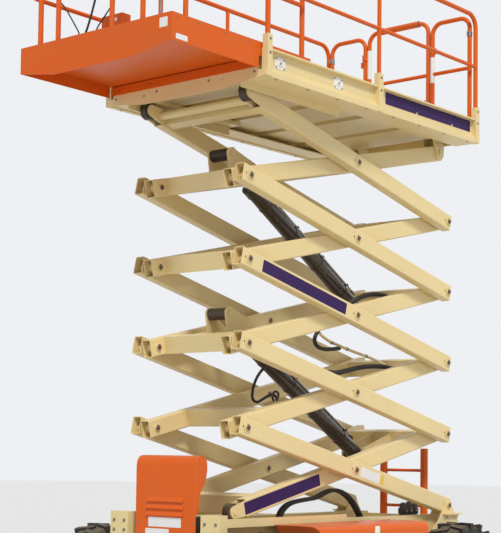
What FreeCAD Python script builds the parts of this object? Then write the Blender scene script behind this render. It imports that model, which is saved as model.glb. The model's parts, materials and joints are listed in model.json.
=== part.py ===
import FreeCAD, Part
import math
import os

# A five-tier rough-terrain scissor lift with a roll-out deck, stack partly raised.
# Millimetres. While drawing, x runs forward from the rear base pin, y to the machine's
# left and z up from the floor. When written, each entry of SUB_PARTS is moved back by
# MIDDLE_X, so that the origin is under the middle of the machine.

# Scissor stack
TIERS = 5
ARM_LENGTH = 3100.0        # pin to pin
ARM_HEIGHT = 155.0
ARM_WIDTH = 100.0
ARM_WALL = 6.0
ARM_CORNER = 14.0
FRONT_OVERHANG = 92.0      # open tube end past a front pin
REAR_OVERHANG = 50.0       # open tube end past a rear pin
REST_ANGLE = 13.0          # degrees above level, as stored
HIGHEST_ANGLE = 50.0
BASE_PIN_Z = 1090.0
OUTER_LANE_Y = 570.0       # middle of the outer arms
LANE_GAP = 16.0            # between an outer and an inner arm
PIN_RADIUS = 30.0
PIN_FIT = 0.4              # radial clearance of a turning pin
PIN_HEAD = 14.0            # how far a pin stands out of an arm
BOSS_WALL = 13.0
ROLLER_RADIUS = 75.0
ROLLER_GAP = 0.5           # between a roller and its track
ROLLER_SIDE_GAP = 2.0
FORK_PLATE = 16.0
FORK_RADIUS = 52.0
FORK_START = 140.0         # tube end behind the roller pin
FORK_ROOT = 260.0          # fork plates start here on the arm
AXLE_PIN_RADIUS = 25.0

# Cross beams of the inner frames
BEAM_DEPTH = 100.0
BEAM_HEIGHT = 150.0
BEAM_WALL = 6.0
FRONT_BEAM_ALONG = {1: 290.0, 2: 450.0, 3: 130.0, 4: 130.0, 5: 130.0}
REAR_BEAM_BACK = 200.0     # from the rear pins
TOP_BEAM_BACK = 235.0      # from the roller pins
TOP_BEAM_HEIGHT = 116.0
TOP_TIE_BACK = 125.0
TOP_TIE_RADIUS = 36.0

# Lift cylinders: foot on an inner frame, rod eye two tiers up
CYLINDER_TIERS = ((1, 3), (3, 5))
FOOT_BACK = 700.0          # from the frame's rear pins
FOOT_NORMAL = -50.0
EYE_ALONG = 400.0
EYE_NORMAL = 210.0
BARREL_RADIUS = 72.0
BARREL_WALL = 12.0
ROD_OUT = 437.0            # bare rod and eye past the barrel, at rest
BARREL_BOTTOM = 85.0
GLAND_RADIUS = 80.0
GLAND_LENGTH = 90.0
ROD_RADIUS = 42.0
ROD_START = 457.0          # rod's inner end from the foot pin, at rest
ROD_FIT = 0.5
EYE_RADIUS = 52.0
EYE_HALF_WIDTH = 104.0
EYE_PIN_RADIUS = 28.0
TRUNNION_RADIUS = 50.0
CLEVIS_PLATE = 16.0
CLEVIS_GAP = 0.5           # between a cross tube's end and its plate
CLEVIS_HALF_HEIGHT = 60.0
CLEVIS_CAP = 12.0
GUSSET_FRONT = 335.0       # front edge of an eye gusset along the frame

# Running gear
REAR_AXLE_X = 300.0
FRONT_AXLE_BACK = 152.0    # from the front of the rails
WHEEL_Y = 950.0
TYRE_DIAMETER = 950.0
TYRE_WIDTH = 320.0
RIM_DIAMETER = 560.0
LUG_COUNT = 18
LUG_HEIGHT = 26.0
LUG_WIDTH = 46.0
LUG_SLANT = 30.0
SIDE_LUG_DROP = 70.0
KINGPIN_Y = 680.0
KINGPIN_RADIUS = 45.0
YOKE_HALF_HEIGHT = 125.0
YOKE_PLATE = 25.0
HUB_RADIUS = 140.0
HUB_FACE_Y = 870.0
HUB_START_Y = 760.0
RUN_GAP = 0.5
AXLE_BEAM = 130.0
TIE_ARM = 215.0

# Chassis
RAIL_BOTTOM = 640.0
RAIL_REAR_X = -115.0
REAR_REACH = 200.0         # back of the ladder behind the base pins
RAIL_PAST_PIN = 230.0      # rails in front of the resting roller pins
TRACK_PLATE = 15.0
TRACK_SPARE = 142.0        # track behind the roller at full height
GUARD_SPARE = 350.0
GUARD_TOP = 1045.0
GUARD_PLATE = 12.0
BRACKET_PLATE = 14.0
BRACKET_GAP = 3.0
BRACKET_HALF = 170.0
BRACKET_RADIUS = 62.0      # round top about the base pin
MEMBER_X = (560.0, 1550.0, 2450.0)
MEMBER_LENGTH = 100.0
MEMBER_HEIGHT = 150.0
REAR_MEMBER_LENGTH = 30.0
NOSE_LENGTH = 95.0         # blocks in front of the rails
FENDER_TOP = 1012.0
FENDER_OUTLINE = ((-187.0, 0.0), (120.0, 0.0), (298.0, 159.0), (-122.0, 80.0))  # x, drop
FENDER_PLATE = 10.0
FENDER_LIP = 50.0
TIE_HOLE_RADIUS = 12.0
TIE_HOLE_X = (-87.0, 40.0)
TIE_HOLE_DROP = 34.0
BONNET_HALF_WIDTH = 340.0
BONNET_TOP = 1555.0
BONNET_DEPTH = 190.0
BONNET_SETBACK = 10.0      # behind the blocks' front faces
BONNET_CROWN = 95.0
BONNET_SIDE_ROUND = 55.0
LOUVRE_COUNT = 3
LOUVRE_PITCH = 48.0
LOUVRE_RADIUS = 9.0
FRONT_MEMBER_BACK = 60.0   # front cross member, which carries the bonnet
HOOD_TOP = 985.0
HOOD_BOTTOM = 450.0
HOOD_IN_Y = 655.0
HOOD_OUT_Y = 1100.0
HOOD_REAR_GAP = 280.0      # between the rear tyre and the rear cover
HOOD_SPLIT_BACK = 1298.0   # rear end of the moving hood, behind the front axle
HOOD_SPLIT_GAP = 10.0
HOOD_FRONT_BACK = 168.0    # front end of the hood, behind the front axle
HOOD_ROUND = 60.0
HOOD_SHEET = 4.0
ARCH_RADIUS = 650.0
HINGE_PIN_RADIUS = 8.0
HINGE_KNUCKLE_RADIUS = 14.0
TRAY_PLATE = 12.0
HINGE_POST_GAP = 2.0
HINGE_KNUCKLE_LENGTH = 60.0
HINGE_SETBACK = (150.0, 520.0)  # from the rear end of the hood
HINGE_NOTCH = 4.0
SHELF_INSET = 20.0         # shelf edge inside the moving hood
ENGINE_SIZE = (970.0, 350.0, 430.0)
TANK_SIZE = (740.0, 350.0, 410.0)
UNIT_INSET = 45.0          # engine and tank from the cover's rear end
UNIT_SIDE_GAP = 60.0       # and from its outer face
SHELF_FRONT_GAP = 40.0
LADDER_HALF_WIDTH = 245.0
LADDER_TUBE = 38.0
LADDER_TOP = 1640.0
LADDER_BOTTOM = 330.0
FIRST_RUNG = 355.0
RUNG_PITCH = 355.0
LADDER_STAY = 60.0
RUNG_RADIUS = 15.0

# Platform
DECK_REAR_X = -73.0
DECK_PAST_PIN = 180.0      # in front of the resting roller pins
DECK_RISE = 213.0          # deck's top face above the top pivots
FLOOR_SHEET = 6.0
SILL_DEPTH = 100.0
END_PLATE = 8.0
CHANNEL_WEB_Y = 872.0
CHANNEL_WEB = 8.0
CHANNEL_OUT_Y = 925.0
CHANNEL_DROP = 160.0       # bottom below the deck's top face
CHANNEL_LIFT = 76.0        # top above it
CHANNEL_LIP = 14.0
CHANNEL_FLANGE = 44.0
CHANNEL_HAUNCH = 100.0     # sloped face between flange and web
SOCKET_OUT_Y = 935.0
SOCKET_WIDTH = 64.0
SOCKET_LIFT = 190.0
POST_SETBACK = 36.0        # end posts from the deck's ends
RAIL_TUBE = 22.0
MID_TUBE = 19.0
RAIL_HEIGHT = 1110.0       # above the deck
MID_HEIGHT = 600.0
RAIL_BEND = 130.0
CROSSBEAM_COUNT = 5
CROSSBEAM_FIRST = 435.0
CROSSBEAM_LAST = 295.0     # last one's middle behind the deck's front
CROSSBEAM_WIDTH = 500.0
CROSSBEAM_FLANGE = 25.0
CROSSBEAM_WALL = 5.0
CROSSBEAM_HALF = 835.0
LEDGE_TOP_DROP = 142.0     # below the deck's top face
LEDGE_PLATE = 10.0
DECK_TRACK_PLATE = 34.0
DECK_TRACK_OUT_Y = 644.0
KEEPER_PLATE = 12.0
KEEPER_DROP = 108.0
PIVOT_PLATE = 18.0
PIVOT_NOSE = 66.0
PIVOT_FRONT_X = 150.0
SLIDE_GAP = 8.0            # under the roll-out deck's side plates
SLIDE_BAR_PLATE = 12.0
SLIDE_BAR_DROP = 75.0      # lower edge below the deck's top face
SLIDE_BAR_RISE = 2.0
END_HOLE_Y = 455.0
END_HOLE_RADIUS = 14.0
END_HOLE_DROP = 125.0
FRONT_PLATE_CORNER = 150.0 # bottom corners below the deck's top face
FRONT_PLATE_LOW = 200.0
GATE_HALF_WIDTH = 385.0
GATE_GAP = 30.0
GATE_RISE = 35.0           # above the rails
GATE_FOOT = 80.0           # above the deck
GATE_BEND = 110.0
GRIP_WALL = 10.0
HOOP_GAP = 2.0             # between a rear hoop and the channel
SLEEVE_WALL = 12.0
SLEEVE_HEIGHT = 60.0
SLEEVE_LIFT = (220.0, 870.0)

# Roll-out deck, drawn pulled out
TRAY_LAP = 660.0           # over the main deck
TRAY_REACH = 1045.0        # in front of the main deck
TRAY_SHEET = 6.0
TRAY_SIDE_Y = 863.0
TRAY_LIFT = 8.0            # above the main floor
PAD_GAP = 0.3              # under the tray's wear pads
PAD_LENGTH = 120.0
PAD_WIDTH = 60.0
TRAY_DROP = 92.0           # edge plates below the deck's top face
TRAY_MID_DROP = 156.0
TRAY_BEND_Y = 450.0
TRAY_LIP = 125.0           # edge plates above it
TRAY_DEEP_GAP = 20.0       # deep side plates start in front of the main deck
PANEL_GAP = 40.0           # floor panels meet behind the roll-out deck
TRAY_POST_Y = 841.0
TRAY_REAR_POST = 80.0
TRAY_SIDE_POST = 185.0
TRAY_RAIL_DROP = 60.0
FRONT_POST_Y = (-655.0, -440.0, 185.0, 525.0)
CONTROL_BOX = (150.0, 280.0, 270.0)
CONTROL_BOX_Y = 20.0

# Worked out from the values above
V = FreeCAD.Vector
ANGLE = math.radians(REST_ANGLE)
REACH = ARM_LENGTH * math.cos(ANGLE)
RISE = ARM_LENGTH * math.sin(ANGLE)
INNER_LANE_Y = OUTER_LANE_Y - ARM_WIDTH - LANE_GAP
OUTER_IN = OUTER_LANE_Y - ARM_WIDTH / 2
OUTER_OUT = OUTER_LANE_Y + ARM_WIDTH / 2
INNER_IN = INNER_LANE_Y - ARM_WIDTH / 2
INNER_OUT = INNER_LANE_Y + ARM_WIDTH / 2
HALF_HEIGHT = ARM_HEIGHT / 2
ROLLER_HALF = ARM_WIDTH / 2 - FORK_PLATE - ROLLER_SIDE_GAP
TRACK_TOP = BASE_PIN_Z - ROLLER_RADIUS - ROLLER_GAP
RAIL_TOP_Z = TRACK_TOP - TRACK_PLATE
PLATE_IN = EYE_HALF_WIDTH + CLEVIS_GAP
PLATE_OUT = PLATE_IN + CLEVIS_PLATE
REAR_BEAM_ALONG = ARM_LENGTH - REAR_BEAM_BACK
FOOT_ALONG = ARM_LENGTH - FOOT_BACK
LUG_FACE = math.sqrt((TYRE_DIAMETER / 2) ** 2 - (LUG_WIDTH / 2 + LUG_SLANT) ** 2)
AXLE_Z = LUG_FACE          # the tyres stand on the flat of a lug
RAIL_FRONT_X = REACH + RAIL_PAST_PIN
FRONT_AXLE_X = RAIL_FRONT_X - FRONT_AXLE_BACK
TRACK_REAR_X = ARM_LENGTH * math.cos(math.radians(HIGHEST_ANGLE)) - TRACK_SPARE
GUARD_REAR_X = ARM_LENGTH * math.cos(math.radians(HIGHEST_ANGLE)) - GUARD_SPARE
CHASSIS_FRONT_X = RAIL_FRONT_X + NOSE_LENGTH
BONNET_FRONT_X = CHASSIS_FRONT_X - BONNET_SETBACK
BONNET_REAR_X = BONNET_FRONT_X - BONNET_DEPTH
FRONT_MEMBER_X = RAIL_FRONT_X - FRONT_MEMBER_BACK
HOOD_REAR_X = REAR_AXLE_X + TYRE_DIAMETER / 2 + HOOD_REAR_GAP
HOOD_SPLIT_X = FRONT_AXLE_X - HOOD_SPLIT_BACK
HOOD_FRONT_X = FRONT_AXLE_X - HOOD_FRONT_BACK
SHELF_FRONT_X = FRONT_AXLE_X - ARCH_RADIUS - SHELF_FRONT_GAP
FENDER_IN_Y = OUTER_OUT + BRACKET_GAP + BRACKET_PLATE
HINGE_Z = HOOD_TOP - HINGE_KNUCKLE_RADIUS
DECK_TOP = BASE_PIN_Z + TIERS * RISE + DECK_RISE
DECK_FRONT_X = REACH + DECK_PAST_PIN
FLOOR_BOTTOM = DECK_TOP - FLOOR_SHEET
PANEL_FRONT_X = DECK_FRONT_X - END_PLATE
SILL_FRONT_X = DECK_REAR_X + SILL_DEPTH
CROSSBEAM_PITCH = (DECK_FRONT_X - CROSSBEAM_LAST - CROSSBEAM_FIRST) / (CROSSBEAM_COUNT - 1)
LEDGE_TOP = DECK_TOP - LEDGE_TOP_DROP
CHANNEL_BOTTOM = DECK_TOP - CHANNEL_DROP
CHANNEL_TOP = DECK_TOP + CHANNEL_LIFT
SOCKET_TOP = DECK_TOP + SOCKET_LIFT
POST_X = (DECK_REAR_X + POST_SETBACK, DECK_FRONT_X / 2, DECK_FRONT_X - POST_SETBACK)
POST_Y = (CHANNEL_WEB_Y + CHANNEL_WEB + SOCKET_OUT_Y) / 2
RAIL_TOP = DECK_TOP + RAIL_HEIGHT
RAIL_MID = DECK_TOP + MID_HEIGHT
GATE_X = DECK_REAR_X + SILL_DEPTH / 2
GATE_TOP = RAIL_TOP + GATE_RISE
GATE_BOTTOM = DECK_TOP + GATE_FOOT
TRAY_FLOOR = DECK_TOP + TRAY_LIFT
TRAY_BOTTOM = DECK_TOP - TRAY_DROP
TRAY_TOP = DECK_TOP + TRAY_LIP
TRAY_REAR_X = DECK_FRONT_X - TRAY_LAP
TRAY_FRONT_X = DECK_FRONT_X + TRAY_REACH
TRAY_DEEP_X = DECK_FRONT_X + TRAY_DEEP_GAP
TRAY_MID_BOTTOM = DECK_TOP - TRAY_MID_DROP
TRAY_RAIL_MID = RAIL_MID - TRAY_RAIL_DROP / 2
SPLIT_X = TRAY_REAR_X - PANEL_GAP
TRAY_POST_X = (TRAY_REAR_X + TRAY_REAR_POST, TRAY_FRONT_X - TRAY_SIDE_POST)
TRAY_RAIL_TOP = RAIL_TOP - TRAY_RAIL_DROP
MIDDLE_X = (TRAY_FRONT_X - REAR_REACH) / 2


def level(joint):
    return BASE_PIN_Z + joint * RISE


# Shape helpers

def box(x0, x1, y0, y1, z0, z1):
    return Part.makeBox(x1 - x0, y1 - y0, z1 - z0, V(x0, y0, z0))


def bar(start, end, radius):
    start, end = V(*start), V(*end)
    return Part.makeCylinder(radius, (end - start).Length, start, end - start)


def pin(x, y0, y1, z, radius):
    return bar((x, y0, z), (x, y1, z), radius)


def plate(points, low, high, normal="y"):
    """A flat plate: points lie in the plane across the normal, low to high along it."""
    place = {"x": lambda a, b: V(low, a, b), "y": lambda a, b: V(a, low, b),
             "z": lambda a, b: V(a, b, low)}[normal]
    way = {"x": V(1, 0, 0), "y": V(0, 1, 0), "z": V(0, 0, 1)}[normal]
    corners = [place(a, b) for a, b in points]
    return Part.Face(Part.makePolygon(corners + corners[:1])).extrude(way * (high - low))


def join(shapes):
    shapes = list(shapes)
    if len(shapes) == 1:
        return shapes[0]
    return shapes[0].multiFuse(shapes[1:]).removeSplitter()


def weld(shapes):
    """Fuse round tubes one after another."""
    whole = shapes[0]
    for shape in shapes[1:]:
        whole = whole.fuse(shape)
    return whole.removeSplitter()


def group(shapes):
    return Part.makeCompound(list(shapes))


def mirror_y(shape):
    return shape.mirror(V(0, 0, 0), V(0, 1, 0))


def both_sides(shape):
    return group([shape, mirror_y(shape)])


def tube_path(points, radius, bend):
    """Straight and bent lengths of a round tube through points."""
    nodes = [V(*point) for point in points]
    lengths = []
    start = nodes[0]
    for before, corner, after in zip(nodes, nodes[1:], nodes[2:]):
        arriving = (corner - before).normalize()
        leaving = (after - corner).normalize()
        turn = arriving.getAngle(leaving)
        setback = bend * math.tan(turn / 2)
        arc_in = corner - arriving * setback
        inward = (leaving - arriving).normalize()
        centre = corner + inward * (bend / math.cos(turn / 2))
        section = Part.Face(Part.Wire(Part.makeCircle(radius, arc_in, arriving)))
        lengths.append(Part.makeCylinder(radius, (arc_in - start).Length, start, arriving))
        lengths.append(section.revolve(centre, arriving.cross(leaving), math.degrees(turn)))
        start = corner + leaving * setback
    lengths.append(Part.makeCylinder(radius, (nodes[-1] - start).Length, start, nodes[-1] - start))
    return lengths


def round_edges(shape, radius, chosen):
    """Round the edges whose middle passes the test."""
    return shape.makeFillet(radius, [edge for edge in shape.Edges if chosen(edge.CenterOfMass)])


def revolve_y(points, segments=360.0):
    """A solid of revolution about the y axis from (radius, y) points."""
    corners = [V(r, y, 0) for r, y in points]
    return Part.Face(Part.makePolygon(corners + corners[:1])).revolve(V(0, 0, 0), V(0, 1, 0), segments)


# Scissor stack: an outer arm is drawn forward from its rear pin, an inner arm backward
# from its front pin, both level, and then turned to the rest angle.

def place_outer(shape, tier):
    shape = shape.copy()
    shape.rotate(V(0, 0, 0), V(0, 1, 0), -REST_ANGLE)
    shape.translate(V(0, 0, level(tier - 1)))
    return shape


def place_inner(shape, tier):
    shape = shape.copy()
    shape.rotate(V(0, 0, 0), V(0, 1, 0), REST_ANGLE)
    shape.translate(V(REACH, 0, level(tier - 1)))
    return shape


def inner_point(tier, along, normal):
    """Rest place, in x and z, of a point on an inner frame."""
    return (REACH - along * math.cos(ANGLE) + normal * math.sin(ANGLE),
            level(tier - 1) + along * math.sin(ANGLE) + normal * math.cos(ANGLE))


def arm_tube(x0, x1, lane):
    """Square tube with rounded corners."""
    def core(inset, past):
        half = ARM_WIDTH / 2 - inset
        tall = HALF_HEIGHT - inset
        block = box(x0 - past, x1 + past, lane - half, lane + half, -tall, tall)
        return round_edges(block, ARM_CORNER - inset,
                           lambda at: abs(abs(at.y - lane) - half) < 1 and abs(abs(at.z) - tall) < 1)
    return core(0, 0).cut(core(ARM_WALL, 1))


def fork(x, way, lane):
    """Two cheek plates and the pin that carry a roller at x; way is +1 if the arm lies ahead."""
    parts = []
    tall = HALF_HEIGHT - ARM_CORNER
    for side in (-1, 1):
        outer = lane + side * ARM_WIDTH / 2
        y0, y1 = sorted((outer, outer - side * FORK_PLATE))
        root, start = x + way * FORK_ROOT, x + way * FORK_START
        parts.append(plate([(root, -tall), (root, tall), (start, tall), (x, FORK_RADIUS), (x, -FORK_RADIUS),
                            (start, -tall)], y0, y1))
        parts.append(pin(x, y0, y1, 0, FORK_RADIUS))
    reach = (ARM_WIDTH + PIN_HEAD) / 2
    parts.append(pin(x, lane - reach, lane + reach, 0, AXLE_PIN_RADIUS))
    return parts


def outer_arm(tier):
    has_roller = tier == TIERS
    front = ARM_LENGTH - FORK_START if has_roller else ARM_LENGTH + FRONT_OVERHANG
    parts = [arm_tube(-REAR_OVERHANG, front, OUTER_LANE_Y)]
    pin_y = (INNER_IN - PIN_HEAD, OUTER_OUT + PIN_HEAD)
    base_y = (INNER_OUT + BRACKET_GAP, OUTER_OUT + BRACKET_GAP + BRACKET_PLATE + PIN_HEAD)
    rear_y = base_y if tier == 1 else pin_y
    parts.append(pin(0, *rear_y, 0, PIN_RADIUS))
    parts.append(pin(ARM_LENGTH / 2, *pin_y, 0, PIN_RADIUS))
    if has_roller:
        parts += fork(ARM_LENGTH, -1, OUTER_LANE_Y)
    else:
        parts.append(pin(ARM_LENGTH, *pin_y, 0, PIN_RADIUS))
    return join(parts)


def top_beams():
    """Cross tube and round tie tube between the roller ends of the top outer arms."""
    beam = cross_tube(TOP_BEAM_BACK - ARM_LENGTH, OUTER_IN, TOP_BEAM_HEIGHT)
    return [beam, pin(ARM_LENGTH - TOP_TIE_BACK, -OUTER_IN, OUTER_IN, 0, TOP_TIE_RADIUS)]


def outer_arms(tier):
    left = outer_arm(tier)
    if tier == TIERS:
        return place_outer(join([left, mirror_y(left)] + top_beams()), tier)
    return both_sides(place_outer(left, tier))


def inner_arm(tier):
    has_roller = tier == 1
    front = -FORK_START if has_roller else FRONT_OVERHANG
    parts = [arm_tube(-ARM_LENGTH - REAR_OVERHANG, front, INNER_LANE_Y)]
    bored = [-ARM_LENGTH / 2]
    if has_roller:
        parts += fork(0, -1, INNER_LANE_Y)
    else:
        bored.append(0)
    if tier < TIERS:
        bored.append(-ARM_LENGTH)
    for x in bored:
        parts.append(pin(x, INNER_IN + ARM_WALL / 2, INNER_OUT - ARM_WALL / 2, 0, PIN_RADIUS + BOSS_WALL))
    if tier == TIERS:
        ends = pivot_plate_lanes()
        parts.append(pin(-ARM_LENGTH, ends[0] - PIN_HEAD, ends[3] + PIN_HEAD, 0, PIN_RADIUS))
    solid = join(parts)
    for x in bored:
        solid = solid.cut(pin(x, INNER_IN - 1, INNER_OUT + 1, 0, PIN_RADIUS + PIN_FIT))
    return solid


def inner_arms(tier):
    return both_sides(place_inner(inner_arm(tier), tier))


def cross_tube(along, half_width, height=BEAM_HEIGHT):
    skin_x, skin_z = BEAM_DEPTH / 2, height / 2
    core_x, core_z = skin_x - BEAM_WALL, skin_z - BEAM_WALL
    skin = box(-along - skin_x, -along + skin_x, -half_width, half_width, -skin_z, skin_z)
    core = box(-along - core_x, -along + core_x, -half_width - 1, half_width + 1, -core_z, core_z)
    return skin.cut(core)


def eye_bracket(tier):
    """Front cross tube of a frame that carries a rod eye: two gussets, their pin and stays."""
    beam_rear = FRONT_BEAM_ALONG[tier] + BEAM_DEPTH / 2
    beam_half = BEAM_HEIGHT / 2
    ear = EYE_PIN_RADIUS * 2
    outline = [(beam_rear - 1, -beam_half), (beam_rear - 1, beam_half), (GUSSET_FRONT, beam_half),
               (EYE_ALONG - ear, EYE_NORMAL + ear / 2),
               (EYE_ALONG - ear / 2, EYE_NORMAL + ear), (EYE_ALONG + ear / 2, EYE_NORMAL + ear),
               (EYE_ALONG + ear, EYE_NORMAL + ear / 2), (2 * EYE_ALONG, beam_half / 2),
               (2 * EYE_ALONG, -beam_half / 2), (beam_rear + beam_half, -beam_half)]
    outline = [(-along, normal) for along, normal in outline]
    parts = []
    stay_x = -(2 * EYE_ALONG - BEAM_DEPTH / 2)
    for side in (-1, 1):
        y0, y1 = sorted((side * PLATE_IN, side * PLATE_OUT))
        parts.append(plate(outline, y0, y1))
        s0, s1 = sorted((side * (PLATE_OUT - 1), side * INNER_IN))
        deep = BEAM_DEPTH / 3
        parts.append(box(stay_x - deep, stay_x + deep, s0, s1, -beam_half / 2, beam_half / 2))
    reach = PLATE_OUT + CLEVIS_CAP
    parts.append(pin(-EYE_ALONG, -reach, reach, EYE_NORMAL, EYE_PIN_RADIUS))
    return parts


def foot_bracket():
    """Rear cross tube's two clevis plates, which straddle a barrel's foot."""
    front = REAR_BEAM_ALONG - BEAM_DEPTH / 2 + 1
    half = CLEVIS_HALF_HEIGHT
    outline = [(front, BEAM_HEIGHT / 3), (front, -BEAM_HEIGHT / 3), (FOOT_ALONG, FOOT_NORMAL - half),
               (FOOT_ALONG - half, FOOT_NORMAL - half / 2), (FOOT_ALONG - half, FOOT_NORMAL + half / 2),
               (FOOT_ALONG, FOOT_NORMAL + half)]
    outline = [(-along, normal) for along, normal in outline]
    parts = []
    for side in (-1, 1):
        y0, y1 = sorted((side * PLATE_IN, side * PLATE_OUT))
        parts.append(plate(outline, y0, y1))
        c0, c1 = sorted((side * (PLATE_OUT - 1), side * (PLATE_OUT + CLEVIS_CAP)))
        parts.append(pin(-FOOT_ALONG, c0, c1, FOOT_NORMAL, TRUNNION_RADIUS - 8))
    return parts


def inner_beams(tier):
    front = [cross_tube(FRONT_BEAM_ALONG[tier], INNER_IN)]
    rear = [cross_tube(REAR_BEAM_ALONG, INNER_IN)]
    if tier in [top for _, top in CYLINDER_TIERS]:
        front += eye_bracket(tier)
    if tier in [foot for foot, _ in CYLINDER_TIERS]:
        rear += foot_bracket()
    return place_inner(group([join(front), join(rear)]), tier)


def roller(lane):
    return pin(0, lane - ROLLER_HALF, lane + ROLLER_HALF, 0, ROLLER_RADIUS).cut(
        pin(0, lane - ARM_WIDTH, lane + ARM_WIDTH, 0, AXLE_PIN_RADIUS + PIN_FIT))


def base_rollers():
    return both_sides(place_inner(roller(INNER_LANE_Y), 1))


def deck_rollers():
    wheel = roller(OUTER_LANE_Y)
    wheel.translate(V(ARM_LENGTH, 0, 0))
    return both_sides(place_outer(wheel, TIERS))


# Lift cylinders, drawn along x from the foot pin and then laid between their two pins.

def cylinder_ends(pair):
    foot_tier, eye_tier = CYLINDER_TIERS[pair]
    return inner_point(foot_tier, FOOT_ALONG, FOOT_NORMAL), inner_point(eye_tier, EYE_ALONG, EYE_NORMAL)


def cylinder_length(pair):
    foot, eye = cylinder_ends(pair)
    return math.hypot(eye[0] - foot[0], eye[1] - foot[1])


def place_cylinder(shape, pair):
    foot, eye = cylinder_ends(pair)
    slope = math.degrees(math.atan2(eye[1] - foot[1], eye[0] - foot[0]))
    shape.rotate(V(0, 0, 0), V(0, 1, 0), -slope)
    shape.translate(V(foot[0], 0, foot[1]))
    return shape


def cylinder_rod(pair):
    eye_x = cylinder_length(pair)
    shaft = bar((ROD_START, 0, 0), (eye_x, 0, 0), ROD_RADIUS)
    eye = pin(eye_x, -EYE_HALF_WIDTH, EYE_HALF_WIDTH, 0, EYE_RADIUS)
    hole = pin(eye_x, -EYE_HALF_WIDTH - 1, EYE_HALF_WIDTH + 1, 0, EYE_PIN_RADIUS + PIN_FIT)
    return place_cylinder(join([shaft, eye]).cut(hole), pair)


def cylinder_barrel(pair):
    length = cylinder_length(pair) - ROD_OUT
    skin = bar((TRUNNION_RADIUS / 2, 0, 0), (length, 0, 0), BARREL_RADIUS)
    gland = bar((length - GLAND_LENGTH, 0, 0), (length, 0, 0), GLAND_RADIUS)
    trunnion = pin(0, -EYE_HALF_WIDTH, EYE_HALF_WIDTH, 0, TRUNNION_RADIUS)
    bore = bar((BARREL_BOTTOM, 0, 0), (length - GLAND_LENGTH / 2, 0, 0), BARREL_RADIUS - BARREL_WALL)
    mouth = bar((BARREL_BOTTOM, 0, 0), (length + 1, 0, 0), ROD_RADIUS + ROD_FIT)
    return place_cylinder(join([skin, gland, trunnion]).cut(bore).cut(mouth), pair)


# Running gear

def move_to_wheel(shape, axle_x, side):
    shape = shape.copy()
    if side < 0:
        shape = mirror_y(shape)
    shape.translate(V(axle_x, 0, AXLE_Z))
    return shape


def tyre(axle_x, way_out):
    outer, rim = TYRE_DIAMETER / 2, RIM_DIAMETER / 2
    half = TYRE_WIDTH / 2
    side = [(rim, half * 0.78), (outer * 0.78, half), (outer - LUG_HEIGHT * 2.2, half * 0.94),
            (outer - LUG_HEIGHT, half * 0.72)]
    carcass = revolve_y([(r, WHEEL_Y - y) for r, y in side] + [(r, WHEEL_Y + y) for r, y in reversed(side)])
    lug = tread_lug(outer, half)
    lugs = []
    for index in range(LUG_COUNT):
        for way in (-1, 1):
            turned = lug.copy() if way > 0 else lug.mirror(V(0, WHEEL_Y, 0), V(0, 1, 0))
            turned.rotate(V(0, 0, 0), V(0, 1, 0), 360.0 / LUG_COUNT * (index + (0 if way > 0 else 0.5)))
            lugs.append(turned)
    return move_to_wheel(carcass.multiFuse(lugs), axle_x, way_out)


def tread_lug(outer, half):
    """One slanted bar of the tread, from the middle of the tyre to below its shoulder."""
    middle, edge = WHEEL_Y - half * 0.06, WHEEL_Y + half
    base = outer - LUG_HEIGHT * 1.6
    foot = outer - SIDE_LUG_DROP
    wide = LUG_WIDTH / 2
    slant = LUG_SLANT
    top = plate([(-wide - slant, middle), (wide - slant, middle), (wide + slant, edge),
                 (-wide + slant, edge)], foot, LUG_FACE, "z")
    shoulder, flank = WHEEL_Y + half * 0.66, WHEEL_Y + half * 0.86
    below = plate([(middle - 1, foot - 1), (middle - 1, base), (shoulder, base), (flank, foot - 1)],
                  -outer / 4, outer / 4, "x")
    return top.cut(below)


def rim(axle_x, side):
    radius = RIM_DIAMETER / 2
    half = TYRE_WIDTH / 2 * 0.78
    disc = HUB_FACE_Y + RUN_GAP
    inner, outer = WHEEL_Y - half, WHEEL_Y + half
    wheel = revolve_y([(0, disc), (radius - 40, disc), (radius - 40, inner), (radius, inner),
                       (radius, outer), (radius - 30, outer), (radius - 30, disc + 40), (150, disc + 20),
                       (130, disc + 60), (0, disc + 60)])
    return move_to_wheel(wheel, axle_x, side)


def hub(start_y):
    return pin(0, start_y, HUB_FACE_Y, 0, HUB_RADIUS)


def rear_axle():
    half = AXLE_BEAM / 2
    beam = box(-half, half, -HUB_START_Y, HUB_START_Y, -half, half)
    seats = [box(-half, half, side * INNER_LANE_Y - ARM_WIDTH / 2, side * INNER_LANE_Y + ARM_WIDTH / 2,
                 half, RAIL_BOTTOM - AXLE_Z) for side in (-1, 1)]
    hubs = [hub(HUB_START_Y - 1), mirror_y(hub(HUB_START_Y - 1))]
    shape = join([beam] + seats + hubs)
    shape.translate(V(REAR_AXLE_X, 0, AXLE_Z))
    return shape


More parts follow.
